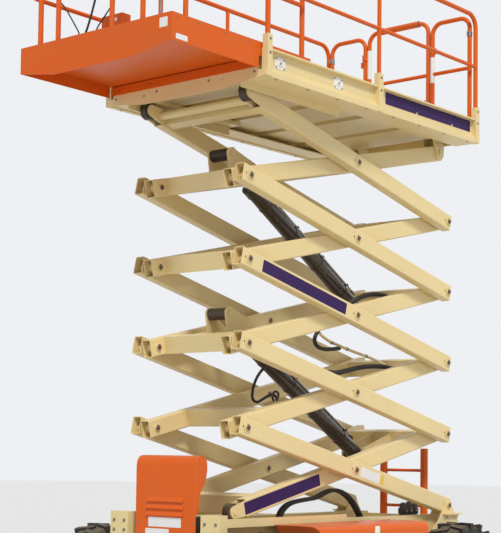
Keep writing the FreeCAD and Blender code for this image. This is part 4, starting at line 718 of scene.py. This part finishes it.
class LIFT_OT_tray(bpy.types.Operator):
    """Tread, feet of posts, locking pins and the operator's box of the roll-out deck"""
    bl_idname = "lift.tray"
    bl_label = "Roll-out Deck"

    def execute(self, context):
        low, high = TRAY
        floor_z = DECK_TOP + 0.014
        tread = bmesh.new()
        add_box(tread, (low.x + 0.01, -0.850, floor_z), (high.x - 0.012, 0.850, floor_z + 0.0015))
        finish_piece("tray_tread", tread, "extension", MATERIALS["orange_deck"])
        feet = bmesh.new()
        front_x = TRAY_RAILS[1].x - 0.022
        posts = [Vector((front_x, y, floor_z)) for y in (-0.655, -0.440, 0.185, 0.525)]
        for side in BOTH:
            y = side * (TRAY_RAILS[1].y - 0.022)
            posts += [Vector((TRAY_RAILS[0].x + 0.022, y, floor_z)), Vector((high.x - 0.185, y, floor_z))]
        for post in posts:
            add_ring(feet, post, UP, 0.0275, 0.0225, 0.012)
        finish_piece("tray_post_feet", feet, "extension", MATERIALS["orange_paint"], bevel=0.002)
        edge = bmesh.new()
        for side in BOTH:
            add_disc(edge, Vector((low.x + 0.10, side * (high.y - 0.010), DECK_TOP + 0.07)), (0, -side, 0), 0.010, 0.03, 20)
        finish_piece("tray_edge", edge, "extension", MATERIALS["orange_paint"], bevel=0.001)
        bolts = bmesh.new()
        for y in (-0.60, -0.20, 0.20, 0.60):
            add_disc(bolts, Vector((high.x - 0.004, y, DECK_TOP - 0.115)), (1, 0, 0), 0.008, 0.0038, 6)
        for side in BOTH:
            for x in (0.06, 0.30, 0.62, 0.90):
                add_bolt(bolts, Vector((high.x - x, side * high.y, DECK_TOP + 0.100)), (0, side, 0), 0.006)
        finish_piece("tray_bolts", bolts, "extension", MATERIALS["zinc_bolt"], bevel=0.0008)
        self.operator_box()
        self.tray_fittings()
        return {"FINISHED"}

    def tray_fittings(self):
        """Cables down to the deck, a foot box behind the front plate and a stay beside a post."""
        line_x = TRAY_RAILS[1].x - 0.050
        floor_z = DECK_TOP + 0.016
        runs = (((-0.640, 5.380), (-0.560, 5.330), (-0.411, 5.215), (-0.300, 5.060), (-0.219, 4.948), (-0.200, 4.880),
                 (-0.200, floor_z)),
                ((0.330, 5.385), (0.290, 5.300), (0.183, 5.134), (0.060, 5.020), (-0.016, 4.953), (-0.040, 4.880),
                 (-0.040, floor_z)))
        for number, run in enumerate(runs):
            hose("deck_cable_%d" % number, [Vector((line_x, y, z)) for y, z in run], 0.006, "extension",
                 MATERIALS["hose_rubber"])
        box = bmesh.new()
        add_box(box, (1.930, -0.110, DECK_TOP + 0.015), (2.030, 0.130, DECK_TOP + 0.300))
        finish_piece("foot_box", box, "extension", MATERIALS["orange_paint"], bevel=0.008, segments=3)
        dot = bmesh.new()
        add_disc(dot, Vector((2.030, 0.060, DECK_TOP + 0.250)), (1, 0, 0), 0.016, 0.004, 24)
        finish_piece("foot_box_dot", dot, "extension", MATERIALS["white_plate"])
        stay = bmesh.new()
        add_disc(stay, Vector((line_x, 0.690, floor_z)), UP, 0.009, 1.050, 20)
        for z in (floor_z + 0.10, floor_z + 0.58, floor_z + 1.0):
            add_disc(stay, Vector((line_x, 0.690, z)), UP, 0.013, 0.030, 20)
        finish_piece("deck_stay", stay, "extension", MATERIALS["zinc_bolt"], bevel=0.001)

    def operator_box(self):
        """Moulded case, sloping desk, lever, stop button and switches in place of the plain box."""
        low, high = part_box("control_box")
        case = bmesh.new()
        add_box(case, low, high - Vector((0.0, 0.0, 0.02)))
        top = [vert for vert in case.verts if vert.co.z > high.z - 0.05 and vert.co.x < (low.x + high.x) / 2]
        bmesh.ops.translate(case, verts=top, vec=(0, 0, -0.06))
        finish_piece("operator_case", case, "extension", MATERIALS["orange_paint"], bevel=0.008,
                     segments=3, replaces=("control_box",))
        y_mid = (low.y + high.y) / 2
        desk = Vector(((low.x + high.x) / 2, y_mid, high.z - 0.050))
        slope = Vector((-0.37, 0, 0.93))
        small = bmesh.new()
        add_disc(small, desk + Vector((0, -0.07, 0)), slope, 0.022, 0.008, 24)
        add_disc(small, desk + Vector((0, -0.07, 0.005)), slope, 0.008, 0.045, 16, top=0.006)
        for dy in (0.0, 0.035, 0.07):
            add_disc(small, desk + Vector((0.01, dy, 0.0)), slope, 0.009, 0.008, 20)
            add_disc(small, desk + Vector((0.01, dy, 0.006)), slope, 0.003, 0.014, 12)
        finish_piece("operator_controls", small, "extension", MATERIALS["black_plastic"], bevel=0.001)
        button = bmesh.new()
        add_disc(button, desk + Vector((-0.03, 0.10, -0.012)), slope, 0.011, 0.010, 20)
        add_disc(button, desk + Vector((-0.03, 0.10, -0.003)), slope, 0.019, 0.009, 28, top=0.016)
        finish_piece("stop_button", button, "extension", MATERIALS["red_plastic"], bevel=0.002)
        plate = bmesh.new()
        add_box(plate, (high.x, y_mid - 0.10, low.z + 0.05), (high.x + 0.002, y_mid + 0.10, low.z + 0.17))
        finish_piece("operator_plate", plate, "extension", MATERIALS["label_film"])
        points = [Vector((high.x - 0.06, y_mid - 0.05, low.z + 0.01)), Vector((high.x - 0.06, y_mid - 0.05, low.z - 0.10)),
                  Vector((high.x - 0.05, y_mid - 0.10, low.z - 0.35)), Vector((high.x - 0.02, y_mid - 0.16, low.z - 0.60)),
                  Vector((high.x - 0.01, y_mid - 0.20, DECK_TOP + 0.10)), Vector((high.x - 0.02, y_mid - 0.20, DECK_TOP + 0.016))]
        hose("operator_cable", points, 0.009, "extension", MATERIALS["hose_rubber"])


# Running gear

class LIFT_OT_wheels(bpy.types.Operator):
    """Wheel nuts, hub caps, valve stems and side rings of the tyres"""
    bl_idname = "lift.wheels"
    bl_label = "Wheels"

    def execute(self, context):
        for name in ("front_left", "front_right", "rear_left", "rear_right"):
            middle = joint_place("roll_" + name)
            side = 1 if middle.y > 0 else -1
            out = Vector((0, side, 0))
            hub_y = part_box("knuckle_left")[1].y
            nuts = bmesh.new()
            face = Vector((middle.x, side * (hub_y + 0.0285), middle.z))
            for index in range(10):
                turn = math.tau * index / 10
                spoke = Vector((math.cos(turn), 0, math.sin(turn)))
                add_bolt(nuts, face + spoke * 0.190, out, 0.014, spin=turn)
            cap = Vector((middle.x, side * (hub_y + 0.0605), middle.z))
            for index in range(6):
                turn = math.tau * index / 6
                spoke = Vector((math.cos(turn), 0, math.sin(turn)))
                add_bolt(nuts, cap + spoke * 0.098, out, 0.007, spin=turn)
            stem = face + Vector((0, 0, 0.232))
            add_disc(nuts, stem, out, 0.005, 0.030, 12)
            finish_piece("wheel_nuts_" + name, nuts, "wheel_" + name, MATERIALS["zinc_bolt"],
                         bevel=0.001)
            caps = bmesh.new()
            add_disc(caps, cap, out, 0.080, 0.014, 40, top=0.066)
            add_disc(caps, cap + out * 0.014, out, 0.030, 0.006, 6)
            finish_piece("hub_cap_" + name, caps, "wheel_" + name, MATERIALS["wheel_paint"],
                         bevel=0.002, segments=3)
            rings = bmesh.new()
            wall = side * middle.y + 0.145
            for radius in (0.330, 0.341):
                add_ring(rings, Vector((middle.x, side * wall, middle.z)), out, radius + 0.003, radius - 0.003, 0.0055,
                         64)
            finish_piece("tyre_rings_" + name, rings, "wheel_" + name, MATERIALS["tyre_rubber"])
        axle = bmesh.new()
        for x, node_name in ((joint_place("steering").x, "front_axle"), (joint_place("roll_rear_left").x, "rear_axle")):
            z = joint_place("roll_rear_left").z
            add_ring(axle, Vector((x, -0.10, z)), (0, 1, 0), 0.105, 0.064, 0.2, 32)
            for index in range(8):
                turn = math.tau * index / 8
                add_bolt(axle, Vector((x + 0.085 * math.cos(turn), 0.10, z + 0.085 * math.sin(turn))), (0, 1, 0), 0.007)
        finish_piece("axle_housings", axle, "chassis", MATERIALS["cream_paint"], bevel=0.002)
        return {"FINISHED"}


# Covers

class LIFT_OT_covers(bpy.types.Operator):
    """Latches, vents and hinge bolts of the hoods and the bonnet"""
    bl_idname = "lift.covers"
    bl_label = "Covers"

    def execute(self, context):
        for side in BOTH:
            hand = "left" if side > 0 else "right"
            out = Vector((0, side, 0))
            wall = side * HOOD[1].y
            latch = bmesh.new()
            for x, z in ((HOOD[0].x + 0.050, HOOD[1].z - 0.058), (HOOD[0].x + 0.62, HOOD[1].z - 0.30)):
                y0, y1 = sorted((wall, wall + side * 0.004))
                add_box(latch, (x - 0.034, y0, z - 0.040), (x + 0.034, y1, z + 0.040))
                add_ring(latch, Vector((x, wall + side * 0.004, z)), out, 0.017, 0.012, 0.003, 28)
                add_disc(latch, Vector((x, wall + side * 0.004, z)), out, 0.0115, 0.002, 6)
            finish_piece("hood_latch_" + hand, latch, "hood_" + hand, MATERIALS["white_plate"],
                         bevel=0.001)
            slots = bmesh.new()
            for row in range(5):
                z = HOOD[0].z + 0.14 + row * 0.034
                y0, y1 = sorted((wall, wall + side * 0.005))
                add_box(slots, (HOOD[0].x + 0.12, y0, z), (HOOD[0].x + 0.46, y1, z + 0.014))
            finish_piece("hood_vents_" + hand, slots, "hood_" + hand, MATERIALS["orange_paint"],
                         bevel=0.002)
            vents = bmesh.new()
            for row in range(5):
                z = COVER[0].z + 0.14 + row * 0.034
                add_box(vents, (COVER[0].x + 0.14, y0, z), (COVER[0].x + 0.50, y1, z + 0.014))
            finish_piece("cover_vents_" + hand, vents, "chassis", MATERIALS["orange_paint"],
                         bevel=0.002)
            bolts = bmesh.new()
            for x in (0.05, 0.25, 0.45, 0.68):
                add_bolt(bolts, Vector((COVER[0].x + x, side * 0.700, COVER[1].z)), UP, 0.006)
            finish_piece("cover_bolts_" + hand, bolts, "chassis", MATERIALS["zinc_bolt"], bevel=0.0006)
        self.bonnet()
        self.front_blocks()
        return {"FINISHED"}

    def bonnet(self):
        """A moulded shell with a rounded top, deep above and thin below, with three louvres."""
        low, high = BONNET
        face = high.x - 0.016
        side_view = [(0.0, low.z), (0.0, 1.470), (-0.012, 1.515), (-0.034, 1.541), (-0.066, 1.552), (-0.098, 1.546),
                     (-0.124, 1.528), (-0.139, 1.495), (-0.143, 1.436), (-0.123, 1.342), (-0.060, 1.246),
                     (-0.043, 1.198), (-0.042, 1.074), (-0.010, 1.068), (-0.010, low.z)]
        half = high.y
        shell = bmesh.new()
        edge = [shell.verts.new((face + x, -half, z)) for x, z in side_view]
        end = shell.faces.new(edge)
        made = bmesh.ops.extrude_face_region(shell, geom=[end])
        moved = [item for item in made["geom"] if isinstance(item, bmesh.types.BMVert)]
        bmesh.ops.translate(shell, verts=moved, vec=(0, 2 * half, 0))
        finish_piece("bonnet_shell", shell, "chassis", MATERIALS["orange_paint"], bevel=0.011,
                     segments=4, smooth=50, replaces=("bonnet",))
        core = bmesh.new()
        add_box(core, (low.x, -half + 0.045, low.z), (face - 0.008, half - 0.045, 1.052))
        finish_piece("bonnet_core", core, "chassis", MATERIALS["black_plastic"], bevel=0.004)
        louvres = bmesh.new()
        for top in (1.212, 1.154, 1.096):
            wedge = [louvres.verts.new((face + x, -0.206, z)) for x, z in
                     ((-0.002, top), (0.0148, top - 0.040), (0.0130, top - 0.046), (-0.002, top - 0.048))]
            made = bmesh.ops.extrude_face_region(louvres, geom=[louvres.faces.new(wedge)])
            moved = [item for item in made["geom"] if isinstance(item, bmesh.types.BMVert)]
            bmesh.ops.translate(louvres, verts=moved, vec=(0, 0.412, 0))
        finish_piece("bonnet_louvres", louvres, "chassis", MATERIALS["orange_paint"], bevel=0.001)
        bolts = bmesh.new()
        for y in (-0.305, 0.305):
            for z in (low.z + 0.06, low.z + 0.36):
                add_bolt(bolts, Vector((face, y, z)), (1, 0, 0), 0.007)
        finish_piece("bonnet_bolts", bolts, "chassis", MATERIALS["zinc_bolt"], bevel=0.0008)

    def front_blocks(self):
        """Tie-down eyes on the front blocks, and the bolts that hold the blocks."""
        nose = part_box("cross_members")[1].x
        eyes = bmesh.new()
        bolts = bmesh.new()
        for side in BOTH:
            middle = Vector((nose, side * 0.517, 0.76))
            add_ring(eyes, middle, (1, 0, 0), 0.040, 0.020, 0.006, 32)
            add_disc(eyes, middle, (1, 0, 0), 0.019, 0.002, 28)
            for dz in (0.16, 0.24):
                for dy in (-0.06, 0.06):
                    add_bolt(bolts, middle + Vector((0, dy, dz)), (1, 0, 0), 0.010)
        finish_piece("front_eyes", eyes, "chassis", MATERIALS["dark_steel"], bevel=0.0015)
        finish_piece("front_bolts", bolts, "chassis", MATERIALS["zinc_bolt"], bevel=0.001)


# Valve block, engine and tank

class LIFT_OT_units(bpy.types.Operator):
    """Coils and fittings of the valve block, and the dressed engine and tank"""
    bl_idname = "lift.units"
    bl_label = "Engine, Tank and Valves"

    def execute(self, context):
        low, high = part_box("valve_block")
        coils = bmesh.new()
        fittings = bmesh.new()
        body_top = high.z
        for x, radius, tall in ((low.x + 0.060, 0.034, 0.105), (low.x + 0.150, 0.030, 0.125), (low.x + 0.245, 0.036, 0.115)):
            middle = Vector((x, high.y - 0.090, body_top))
            add_disc(coils, middle, UP, radius, tall, 28)
            add_box(coils, middle + Vector((-radius, -radius, 0.012)), middle + Vector((radius, radius, tall * 0.62)))
            add_disc(coils, middle + Vector((0, 0, tall - 0.001)), UP, radius * 0.55, 0.010, 16)
            add_disc(fittings, middle + Vector((0, radius, 0.040)), (0, 1, 0), 0.016, 0.010, 20)
        for row in range(4):
            x = low.x + 0.055 + row * 0.058
            add_disc(fittings, Vector((x, low.y, body_top - 0.060)), (0, -1, 0), 0.013, 0.022, 6)
            add_disc(fittings, Vector((x, low.y - 0.020, body_top - 0.060)), (0, -1, 0), 0.009, 0.020, 16)
        finish_piece("valve_coils", coils, "chassis", MATERIALS["black_plastic"], bevel=0.002)
        finish_piece("valve_fittings", fittings, "chassis", MATERIALS["zinc_bolt"], bevel=0.001)
        for row in range(4):
            start = Vector((low.x + 0.055 + row * 0.058, low.y - 0.020, body_top - 0.060))
            drop = Vector((start.x + 0.05, start.y - 0.11, start.z - 0.02))
            points = [start, start + Vector((0, -0.06, 0)), drop, drop + Vector((0.16, -0.02, -0.06)),
                      drop + Vector((0.50, 0.01 * row, -0.10)), drop + Vector((0.62, 0.01 * row, -0.26))]
            hose("valve_hose_%d" % row, points, 0.010, "chassis", MATERIALS["hose_rubber"])
        for number, y in enumerate((0.352, 0.312)):
            points = [Vector((x, y, z)) for x, z in
                      ((-1.02, 0.90), (-0.99, 0.98), (-0.938, 1.046), (-0.86, 1.130), (-0.776, 1.190), (-0.66, 1.240),
                       (-0.540, 1.252), (-0.420, 1.225), (-0.300, 1.182), (-0.180, 1.172), (-0.060, 1.162),
                       (0.060, 1.145), (0.150, 1.110), (0.220, 1.040), (0.250, 0.950))]
            hose("feed_hose_%d" % number, points, 0.017, "chassis", MATERIALS["hose_rubber"])
        self.engine()
        self.tank()
        return {"FINISHED"}

    def engine(self):
        low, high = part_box("engine_block")
        bm = bmesh.new()
        add_box(bm, low, (high.x, high.y, low.z + 0.16))
        add_box(bm, (low.x + 0.05, low.y + 0.06, low.z + 0.15), (high.x - 0.25, high.y - 0.06, high.z - 0.10))
        for index in range(4):
            x = low.x + 0.12 + index * 0.15
            add_box(bm, (x, low.y + 0.09, high.z - 0.11), (x + 0.11, high.y - 0.09, high.z - 0.03))
            add_disc(bm, Vector((x + 0.055, low.y + 0.12, high.z - 0.03)), UP, 0.014, 0.02, 20)
        add_disc(bm, Vector((high.x - 0.25, (low.y + high.y) / 2, low.z + 0.30)), (1, 0, 0), 0.13, 0.05, 40)
        add_disc(bm, Vector((high.x - 0.20, (low.y + high.y) / 2, low.z + 0.30)), (1, 0, 0), 0.06, 0.09, 24)
        add_ring(bm, Vector((high.x - 0.16, (low.y + high.y) / 2, low.z + 0.30)), (1, 0, 0), 0.10, 0.05, 0.03)
        finish_piece("engine_dressed", bm, "chassis", MATERIALS["engine_iron"], bevel=0.006, segments=3,
                     replaces=("engine_block",))
        filters = bmesh.new()
        for x in (low.x + 0.20, low.x + 0.40):
            add_disc(filters, Vector((x, low.y + 0.02, low.z + 0.24)), (0, 0, 1), 0.04, 0.13, 32)
            add_disc(filters, Vector((x, low.y + 0.02, low.z + 0.37)), (0, 0, 1), 0.034, 0.012, 32)
        filters_verts = list(filters.verts)
        bmesh.ops.translate(filters, verts=filters_verts, vec=(0, 0.03, 0))
        finish_piece("engine_filters", filters, "chassis", MATERIALS["orange_paint"], bevel=0.002)

    def tank(self):
        low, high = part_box("fluid_tank")
        bm = bmesh.new()
        add_box(bm, low, high)
        upright = [edge for edge in bm.edges if abs((edge.verts[0].co - edge.verts[1].co).z) > 0.3]
        bmesh.ops.bevel(bm, geom=upright, offset=0.04, offset_type="OFFSET", segments=6, profile=0.5, affect="EDGES",
                        material=-1)
        for x in (low.x + 0.18, high.x - 0.22):
            add_disc(bm, Vector((x, (low.y + high.y) / 2, high.z - 0.002)), UP, 0.045, 0.018, 32, top=0.042)
            add_disc(bm, Vector((x, (low.y + high.y) / 2, high.z + 0.015)), UP, 0.036, 0.014, 12)
        finish_piece("tank_dressed", bm, "chassis", MATERIALS["black_plastic"], bevel=0.005, segments=3,
                     replaces=("fluid_tank",))
        straps = bmesh.new()
        for x in (low.x + 0.30, high.x - 0.10):
            add_box(straps, (x, high.y - 0.001, low.z), (x + 0.03, high.y + 0.002, high.z + 0.002))
            add_box(straps, (x, low.y, high.z), (x + 0.03, high.y + 0.002, high.z + 0.003))
        finish_piece("tank_straps", straps, "chassis", MATERIALS["dark_steel"])


# Lift cylinders

class LIFT_OT_cylinders(bpy.types.Operator):
    """Pipes, clamps and hoses on the lift cylinders"""
    bl_idname = "lift.cylinders"
    bl_label = "Cylinders"

    def execute(self, context):
        for name in ("lower", "upper"):
            eye = joint_place("rod_eye_" + name)
            back = Vector(JOINTS["stroke_" + name]["axis"]).normalized()
            ahead = -back
            lift = ahead.cross(Vector((0, 1, 0))).normalized()
            lift = lift if lift.z > 0 else -lift
            foot = eye + back * CYLINDER_LENGTH

            def place(along, out, side=0.0):
                return foot + ahead * along + lift * out + Vector((0, side, 0))

            body = "barrel_" + name
            clamps = bmesh.new()
            for along in (0.30, 0.75, 1.20, 1.62):
                add_ring(clamps, place(along, 0), ahead, 0.0755, 0.0722, 0.022, 48)
                low = place(along, 0.070)
                add_box(clamps, (-0.002, -0.052, 0), (0.024, 0.062, 0.014), aim_along(low, ahead, lift))
            finish_piece("barrel_clamps_" + name, clamps, body, MATERIALS["dark_steel"], bevel=0.001)
            ports = bmesh.new()
            for along in (0.16, 1.765):
                add_box(ports, (-0.026, -0.022, -0.012), (0.026, 0.022, 0.030),
                        aim_along(place(along, 0.072), ahead, lift))
                add_disc(ports, place(along, 0.102), lift, 0.014, 0.012, 6)
            finish_piece("barrel_ports_" + name, ports, body, MATERIALS["barrel_paint"], bevel=0.0015)
            pipe = [place(0.16, 0.108), place(0.16, 0.118), place(0.22, 0.078, 0.046), place(0.30, 0.072, 0.050),
                    place(0.90, 0.072, 0.050), place(1.62, 0.072, 0.050), place(1.70, 0.078, 0.046), place(1.765, 0.118),
                    place(1.765, 0.108)]
            hose("barrel_pipe_" + name, pipe, 0.008, body, MATERIALS["bright_pipe"], slot="rod_chrome")
            for number, y in enumerate((-0.004, -0.034)):
                line = [place(1.70, 0.078, y), place(1.50, 0.092, y), place(1.20, 0.088, y), place(0.90, 0.094, y),
                        place(0.55, 0.090, y), place(0.30, 0.096, y), place(0.14, 0.080, y - 0.030),
                        place(0.08, 0.060, y - 0.030)]
                hose("barrel_hose_%s_%d" % (name, number), line, 0.013, body, MATERIALS["hose_rubber"])
            sleeve = bmesh.new()
            add_ring(sleeve, Vector((eye.x, -EYE_HALF_WIDTH + 0.001, eye.z)), (0, 1, 0), EYE_RADIUS + 0.0015,
                     EYE_RADIUS - 0.004, 2 * EYE_HALF_WIDTH - 0.002, 48)
            finish_piece("rod_eye_sleeve_" + name, sleeve, "rod_" + name, MATERIALS["dark_steel"],
                         bevel=0.001)
            gland = bmesh.new()
            for index in range(8):
                turn = math.tau * index / 8
                across = lift * math.cos(turn) + Vector((0, 1, 0)) * math.sin(turn)
                add_disc(gland, place(1.9006, 0) + across * 0.062, ahead, 0.008, 0.008, 6, spin=turn)
            finish_piece("gland_bolts_" + name, gland, body, MATERIALS["dark_bolt"], bevel=0.0008)
        return {"FINISHED"}


CYLINDER_LENGTH = 2.33762
EYE_RADIUS = 0.052
EYE_HALF_WIDTH = 0.104


def aim_along(point, ahead, lift):
    """Local x along ahead and z along lift."""
    side = lift.cross(ahead)
    matrix = Matrix((ahead, side, lift)).transposed().to_4x4()
    matrix.translation = point
    return matrix


# Hoses on the stack

class LIFT_OT_hoses(bpy.types.Operator):
    """Hose runs, loops and clamps on the inner frames"""
    bl_idname = "lift.hoses"
    bl_label = "Hoses"

    def execute(self, context):
        _, sizes, _ = settings()
        radius = sizes.hose
        for tier in range(1, TIERS + 1):
            body = "inner_%d" % tier
            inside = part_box("inner_arms_2")[1].y - 0.100 - radius
            clamps = bmesh.new()
            for line, height in enumerate((-0.030, 0.0, 0.030)):
                y = inside
                points = [inner_point(tier, along, height + wave, y) for along, wave in
                          ((0.34 + 0.03 * line, 0.0), (0.7, 0.002), (1.3, -0.002), (1.9, 0.002), (2.66, 0.0))]
                hose("stack_hose_%d_%d" % (tier, line), points, radius, body, MATERIALS["hose_rubber"])
            for along in (0.55, 1.10, 1.75, 2.30):
                place = inner_matrix(tier, along, inside)
                add_box(clamps, (-0.016, -radius - 0.003, -0.058), (0.016, radius + 0.0005, 0.058), place)
                add_disc(clamps, place @ Vector((0, -radius - 0.003, 0.050)), (0, -1, 0), 0.006, 0.005, 6)
                add_disc(clamps, place @ Vector((0, -radius - 0.003, -0.050)), (0, -1, 0), 0.006, 0.005, 6)
            finish_piece("hose_clamps_%d" % tier, clamps, body, MATERIALS["black_plastic"],
                         bevel=0.0015)
        self.loops()
        return {"FINISHED"}

    def loops(self):
        """Slack loops, a tied guide tube and sleeved bundles where the lines pass from tier to tier."""
        runs = (
            ("slack_loop_2", "inner_2", 0.120, 0.013,
             ((0.150, 2.350), (0.193, 2.336), (0.300, 2.237), (0.354, 2.110), (0.345, 2.040), (0.280, 2.020),
              (0.214, 2.050), (0.087, 2.104), (0.020, 2.090), (0.000, 2.050))),
            ("slack_loop_2b", "inner_2", 0.160, 0.011,
             ((0.100, 2.040), (0.130, 2.085), (0.090, 2.130), (0.040, 2.120), (0.030, 2.080), (0.060, 2.050))),
            ("slack_loop_3", "inner_3", 0.235, 0.019,
             ((-0.520, 2.780), (-0.457, 2.720), (-0.397, 2.657), (-0.380, 2.600), (-0.429, 2.552), (-0.535, 2.535),
              (-0.642, 2.544), (-0.766, 2.560))),
            ("guide_tube", "outer_3", 0.195, 0.014,
             ((-0.450, 2.720), (-0.579, 2.640), (-0.796, 2.591), (-1.067, 2.542), (-1.413, 2.490), (-1.548, 2.450))),
            ("bundle_2", "inner_2", 0.322, 0.024,
             ((-0.330, 2.300), (-0.444, 2.322), (-0.611, 2.318), (-0.796, 2.356), (-1.008, 2.398), (-1.245, 2.418),
              (-1.450, 2.414), (-1.560, 2.395))),
            ("bundle_3", "inner_3", 0.322, 0.024,
             ((-0.760, 2.960), (-0.866, 3.010), (-1.009, 3.065), (-1.171, 3.100), (-1.336, 3.108), (-1.460, 3.090))),
        )
        for name, body, y, radius, route in runs:
            cream = name == "guide_tube"
            hose(name, [Vector((x, y, z)) for x, z in route], radius, body,
                 MATERIALS["cream_paint" if cream else "hose_rubber"], slot="cream_paint" if cream else "black_plastic")
        ties = bmesh.new()
        for x, z in ((-0.690, 2.611), (-0.930, 2.567), (-1.240, 2.517)):
            add_ring(ties, Vector((x, 0.195, z)), (-1, 0, -0.18), 0.0175, 0.0142, 0.010, 20)
        finish_piece("guide_ties", ties, "outer_3", MATERIALS["black_plastic"])


# Stage

CAMERA_YAW = -2.4494
CAMERA_PITCH = 0.0637
CAMERA_ROLL = 0.0119
FOCAL_PIXELS = 1450.475
PHOTO_WIDTH = 501
PHOTO_HEIGHT = 533
CENTRE_COLUMN = 266.70
CENTRE_ROW = 358.40
SENSOR = 36.0


def make_camera(place):
    """The photograph's view: place, turn, focal length and shift from the joint pins."""
    ahead = Vector((math.cos(CAMERA_YAW) * math.cos(CAMERA_PITCH), math.sin(CAMERA_YAW) * math.cos(CAMERA_PITCH),
                    math.sin(CAMERA_PITCH)))
    level_right = ahead.cross(UP).normalized()
    level_up = level_right.cross(ahead)
    right = level_right * math.cos(CAMERA_ROLL) + level_up * math.sin(CAMERA_ROLL)
    top = level_up * math.cos(CAMERA_ROLL) - level_right * math.sin(CAMERA_ROLL)
    data = bpy.data.cameras.new("camera")
    data.sensor_width = SENSOR
    data.sensor_fit = "AUTO"
    data.lens = FOCAL_PIXELS * SENSOR / PHOTO_HEIGHT
    data.shift_x = (PHOTO_WIDTH / 2 - CENTRE_COLUMN) / PHOTO_HEIGHT
    data.shift_y = (CENTRE_ROW - PHOTO_HEIGHT / 2) / PHOTO_HEIGHT
    data.clip_end = 200
    camera = bpy.data.objects.new("camera", data)
    bpy.context.scene.collection.objects.link(camera)
    matrix = Matrix((right, top, -ahead)).transposed().to_4x4()
    matrix.translation = place
    camera.matrix_world = matrix
    bpy.context.scene.camera = camera


def make_floor(tint):
    """A wide pale floor; the camera sees it nearly white, and it keeps the shadow."""
    bm = bmesh.new()
    bmesh.ops.create_circle(bm, cap_ends=True, segments=64, radius=60)
    mesh = bpy.data.meshes.new("floor")
    bm.to_mesh(mesh)
    bm.free()
    floor = bpy.data.objects.new("floor", mesh)
    bpy.context.scene.collection.objects.link(floor)
    material = bpy.data.materials.new("pale_floor")
    material.use_nodes = True
    shader = material.node_tree.nodes["Principled BSDF"]
    shader.inputs["Base Color"].default_value = (*tint, 1)
    shader.inputs["Roughness"].default_value = 0.8
    mesh.materials.append(material)


def make_light(sun_strength, sky_strength):
    world = bpy.data.worlds.new("sky")
    world.use_nodes = True
    tree = world.node_tree
    soft = tree.nodes["Background"]
    soft.inputs["Color"].default_value = (*srgb(236, 242, 250), 1)
    soft.inputs["Strength"].default_value = sky_strength
    plain = node(tree, "ShaderNodeBackground")
    plain.inputs["Color"].default_value = (*srgb(238, 240, 243), 1)
    plain.inputs["Strength"].default_value = 1.0
    path = node(tree, "ShaderNodeLightPath")
    seen = math_node(tree, "MAXIMUM", path.outputs["Is Camera Ray"], path.outputs["Is Glossy Ray"])
    seen = math_node(tree, "MAXIMUM", seen, path.outputs["Is Transmission Ray"])
    mix = node(tree, "ShaderNodeMixShader")
    tree.links.new(seen, mix.inputs["Fac"])
    tree.links.new(soft.outputs["Background"], mix.inputs[1])
    tree.links.new(plain.outputs["Background"], mix.inputs[2])
    tree.links.new(mix.outputs["Shader"], tree.nodes["World Output"].inputs["Surface"])
    bpy.context.scene.world = world
    lamp = bpy.data.lights.new("sun", "SUN")
    lamp.energy = sun_strength
    lamp.angle = math.radians(12)
    lamp.color = (1.0, 0.97, 0.92)
    sun = bpy.data.objects.new("sun", lamp)
    sun.matrix_world = aim((0, 0, 10), (0.55, 0.75, 1.0))
    bpy.context.scene.collection.objects.link(sun)


class LIFT_OT_stage(bpy.types.Operator):
    """Set the floor, the light and the camera"""
    bl_idname = "lift.stage"
    bl_label = "Stage"

    def execute(self, context):
        _, _, stage = settings()
        make_floor(stage.floor)
        make_light(stage.sun, stage.sky)
        make_camera(stage.camera_place)
        view = bpy.context.scene.view_settings
        view.view_transform = "Standard"
        return {"FINISHED"}


class LIFT_PT_looks(bpy.types.Panel):
    """Lists the steps that dress the lift"""
    bl_idname = "LIFT_PT_looks"
    bl_label = "Scissor Lift"
    bl_space_type = "VIEW_3D"
    bl_region_type = "UI"
    bl_category = "Scissor Lift"

    def draw(self, context):
        scene = context.scene
        for group in (scene.lift_paint, scene.lift_sizes, scene.lift_stage):
            for key in group.bl_rna.properties.keys():
                if key not in ("rna_type", "name"):
                    self.layout.prop(group, key)
        for step in STEPS:
            self.layout.operator(step.bl_idname)


STEPS = (LIFT_OT_stage, LIFT_OT_paint, LIFT_OT_pins, LIFT_OT_labels, LIFT_OT_deck, LIFT_OT_gate, LIFT_OT_tray,
         LIFT_OT_wheels, LIFT_OT_covers, LIFT_OT_units, LIFT_OT_cylinders, LIFT_OT_hoses)
CLASSES = (LiftPaint, LiftSizes, LiftStage, *STEPS, LIFT_PT_looks)


def register():
    for each in CLASSES:
        bpy.utils.register_class(each)
    bpy.types.Scene.lift_paint = bpy.props.PointerProperty(type=LiftPaint)
    bpy.types.Scene.lift_sizes = bpy.props.PointerProperty(type=LiftSizes)
    bpy.types.Scene.lift_stage = bpy.props.PointerProperty(type=LiftStage)


def unregister():
    del bpy.types.Scene.lift_stage
    del bpy.types.Scene.lift_sizes
    del bpy.types.Scene.lift_paint
    for each in reversed(CLASSES):
        bpy.utils.unregister_class(each)


def main():
    register()
    for step in STEPS:
        group, action = step.bl_idname.split(".")
        getattr(getattr(bpy.ops, group), action)()


if __name__ == "__main__":
    main()
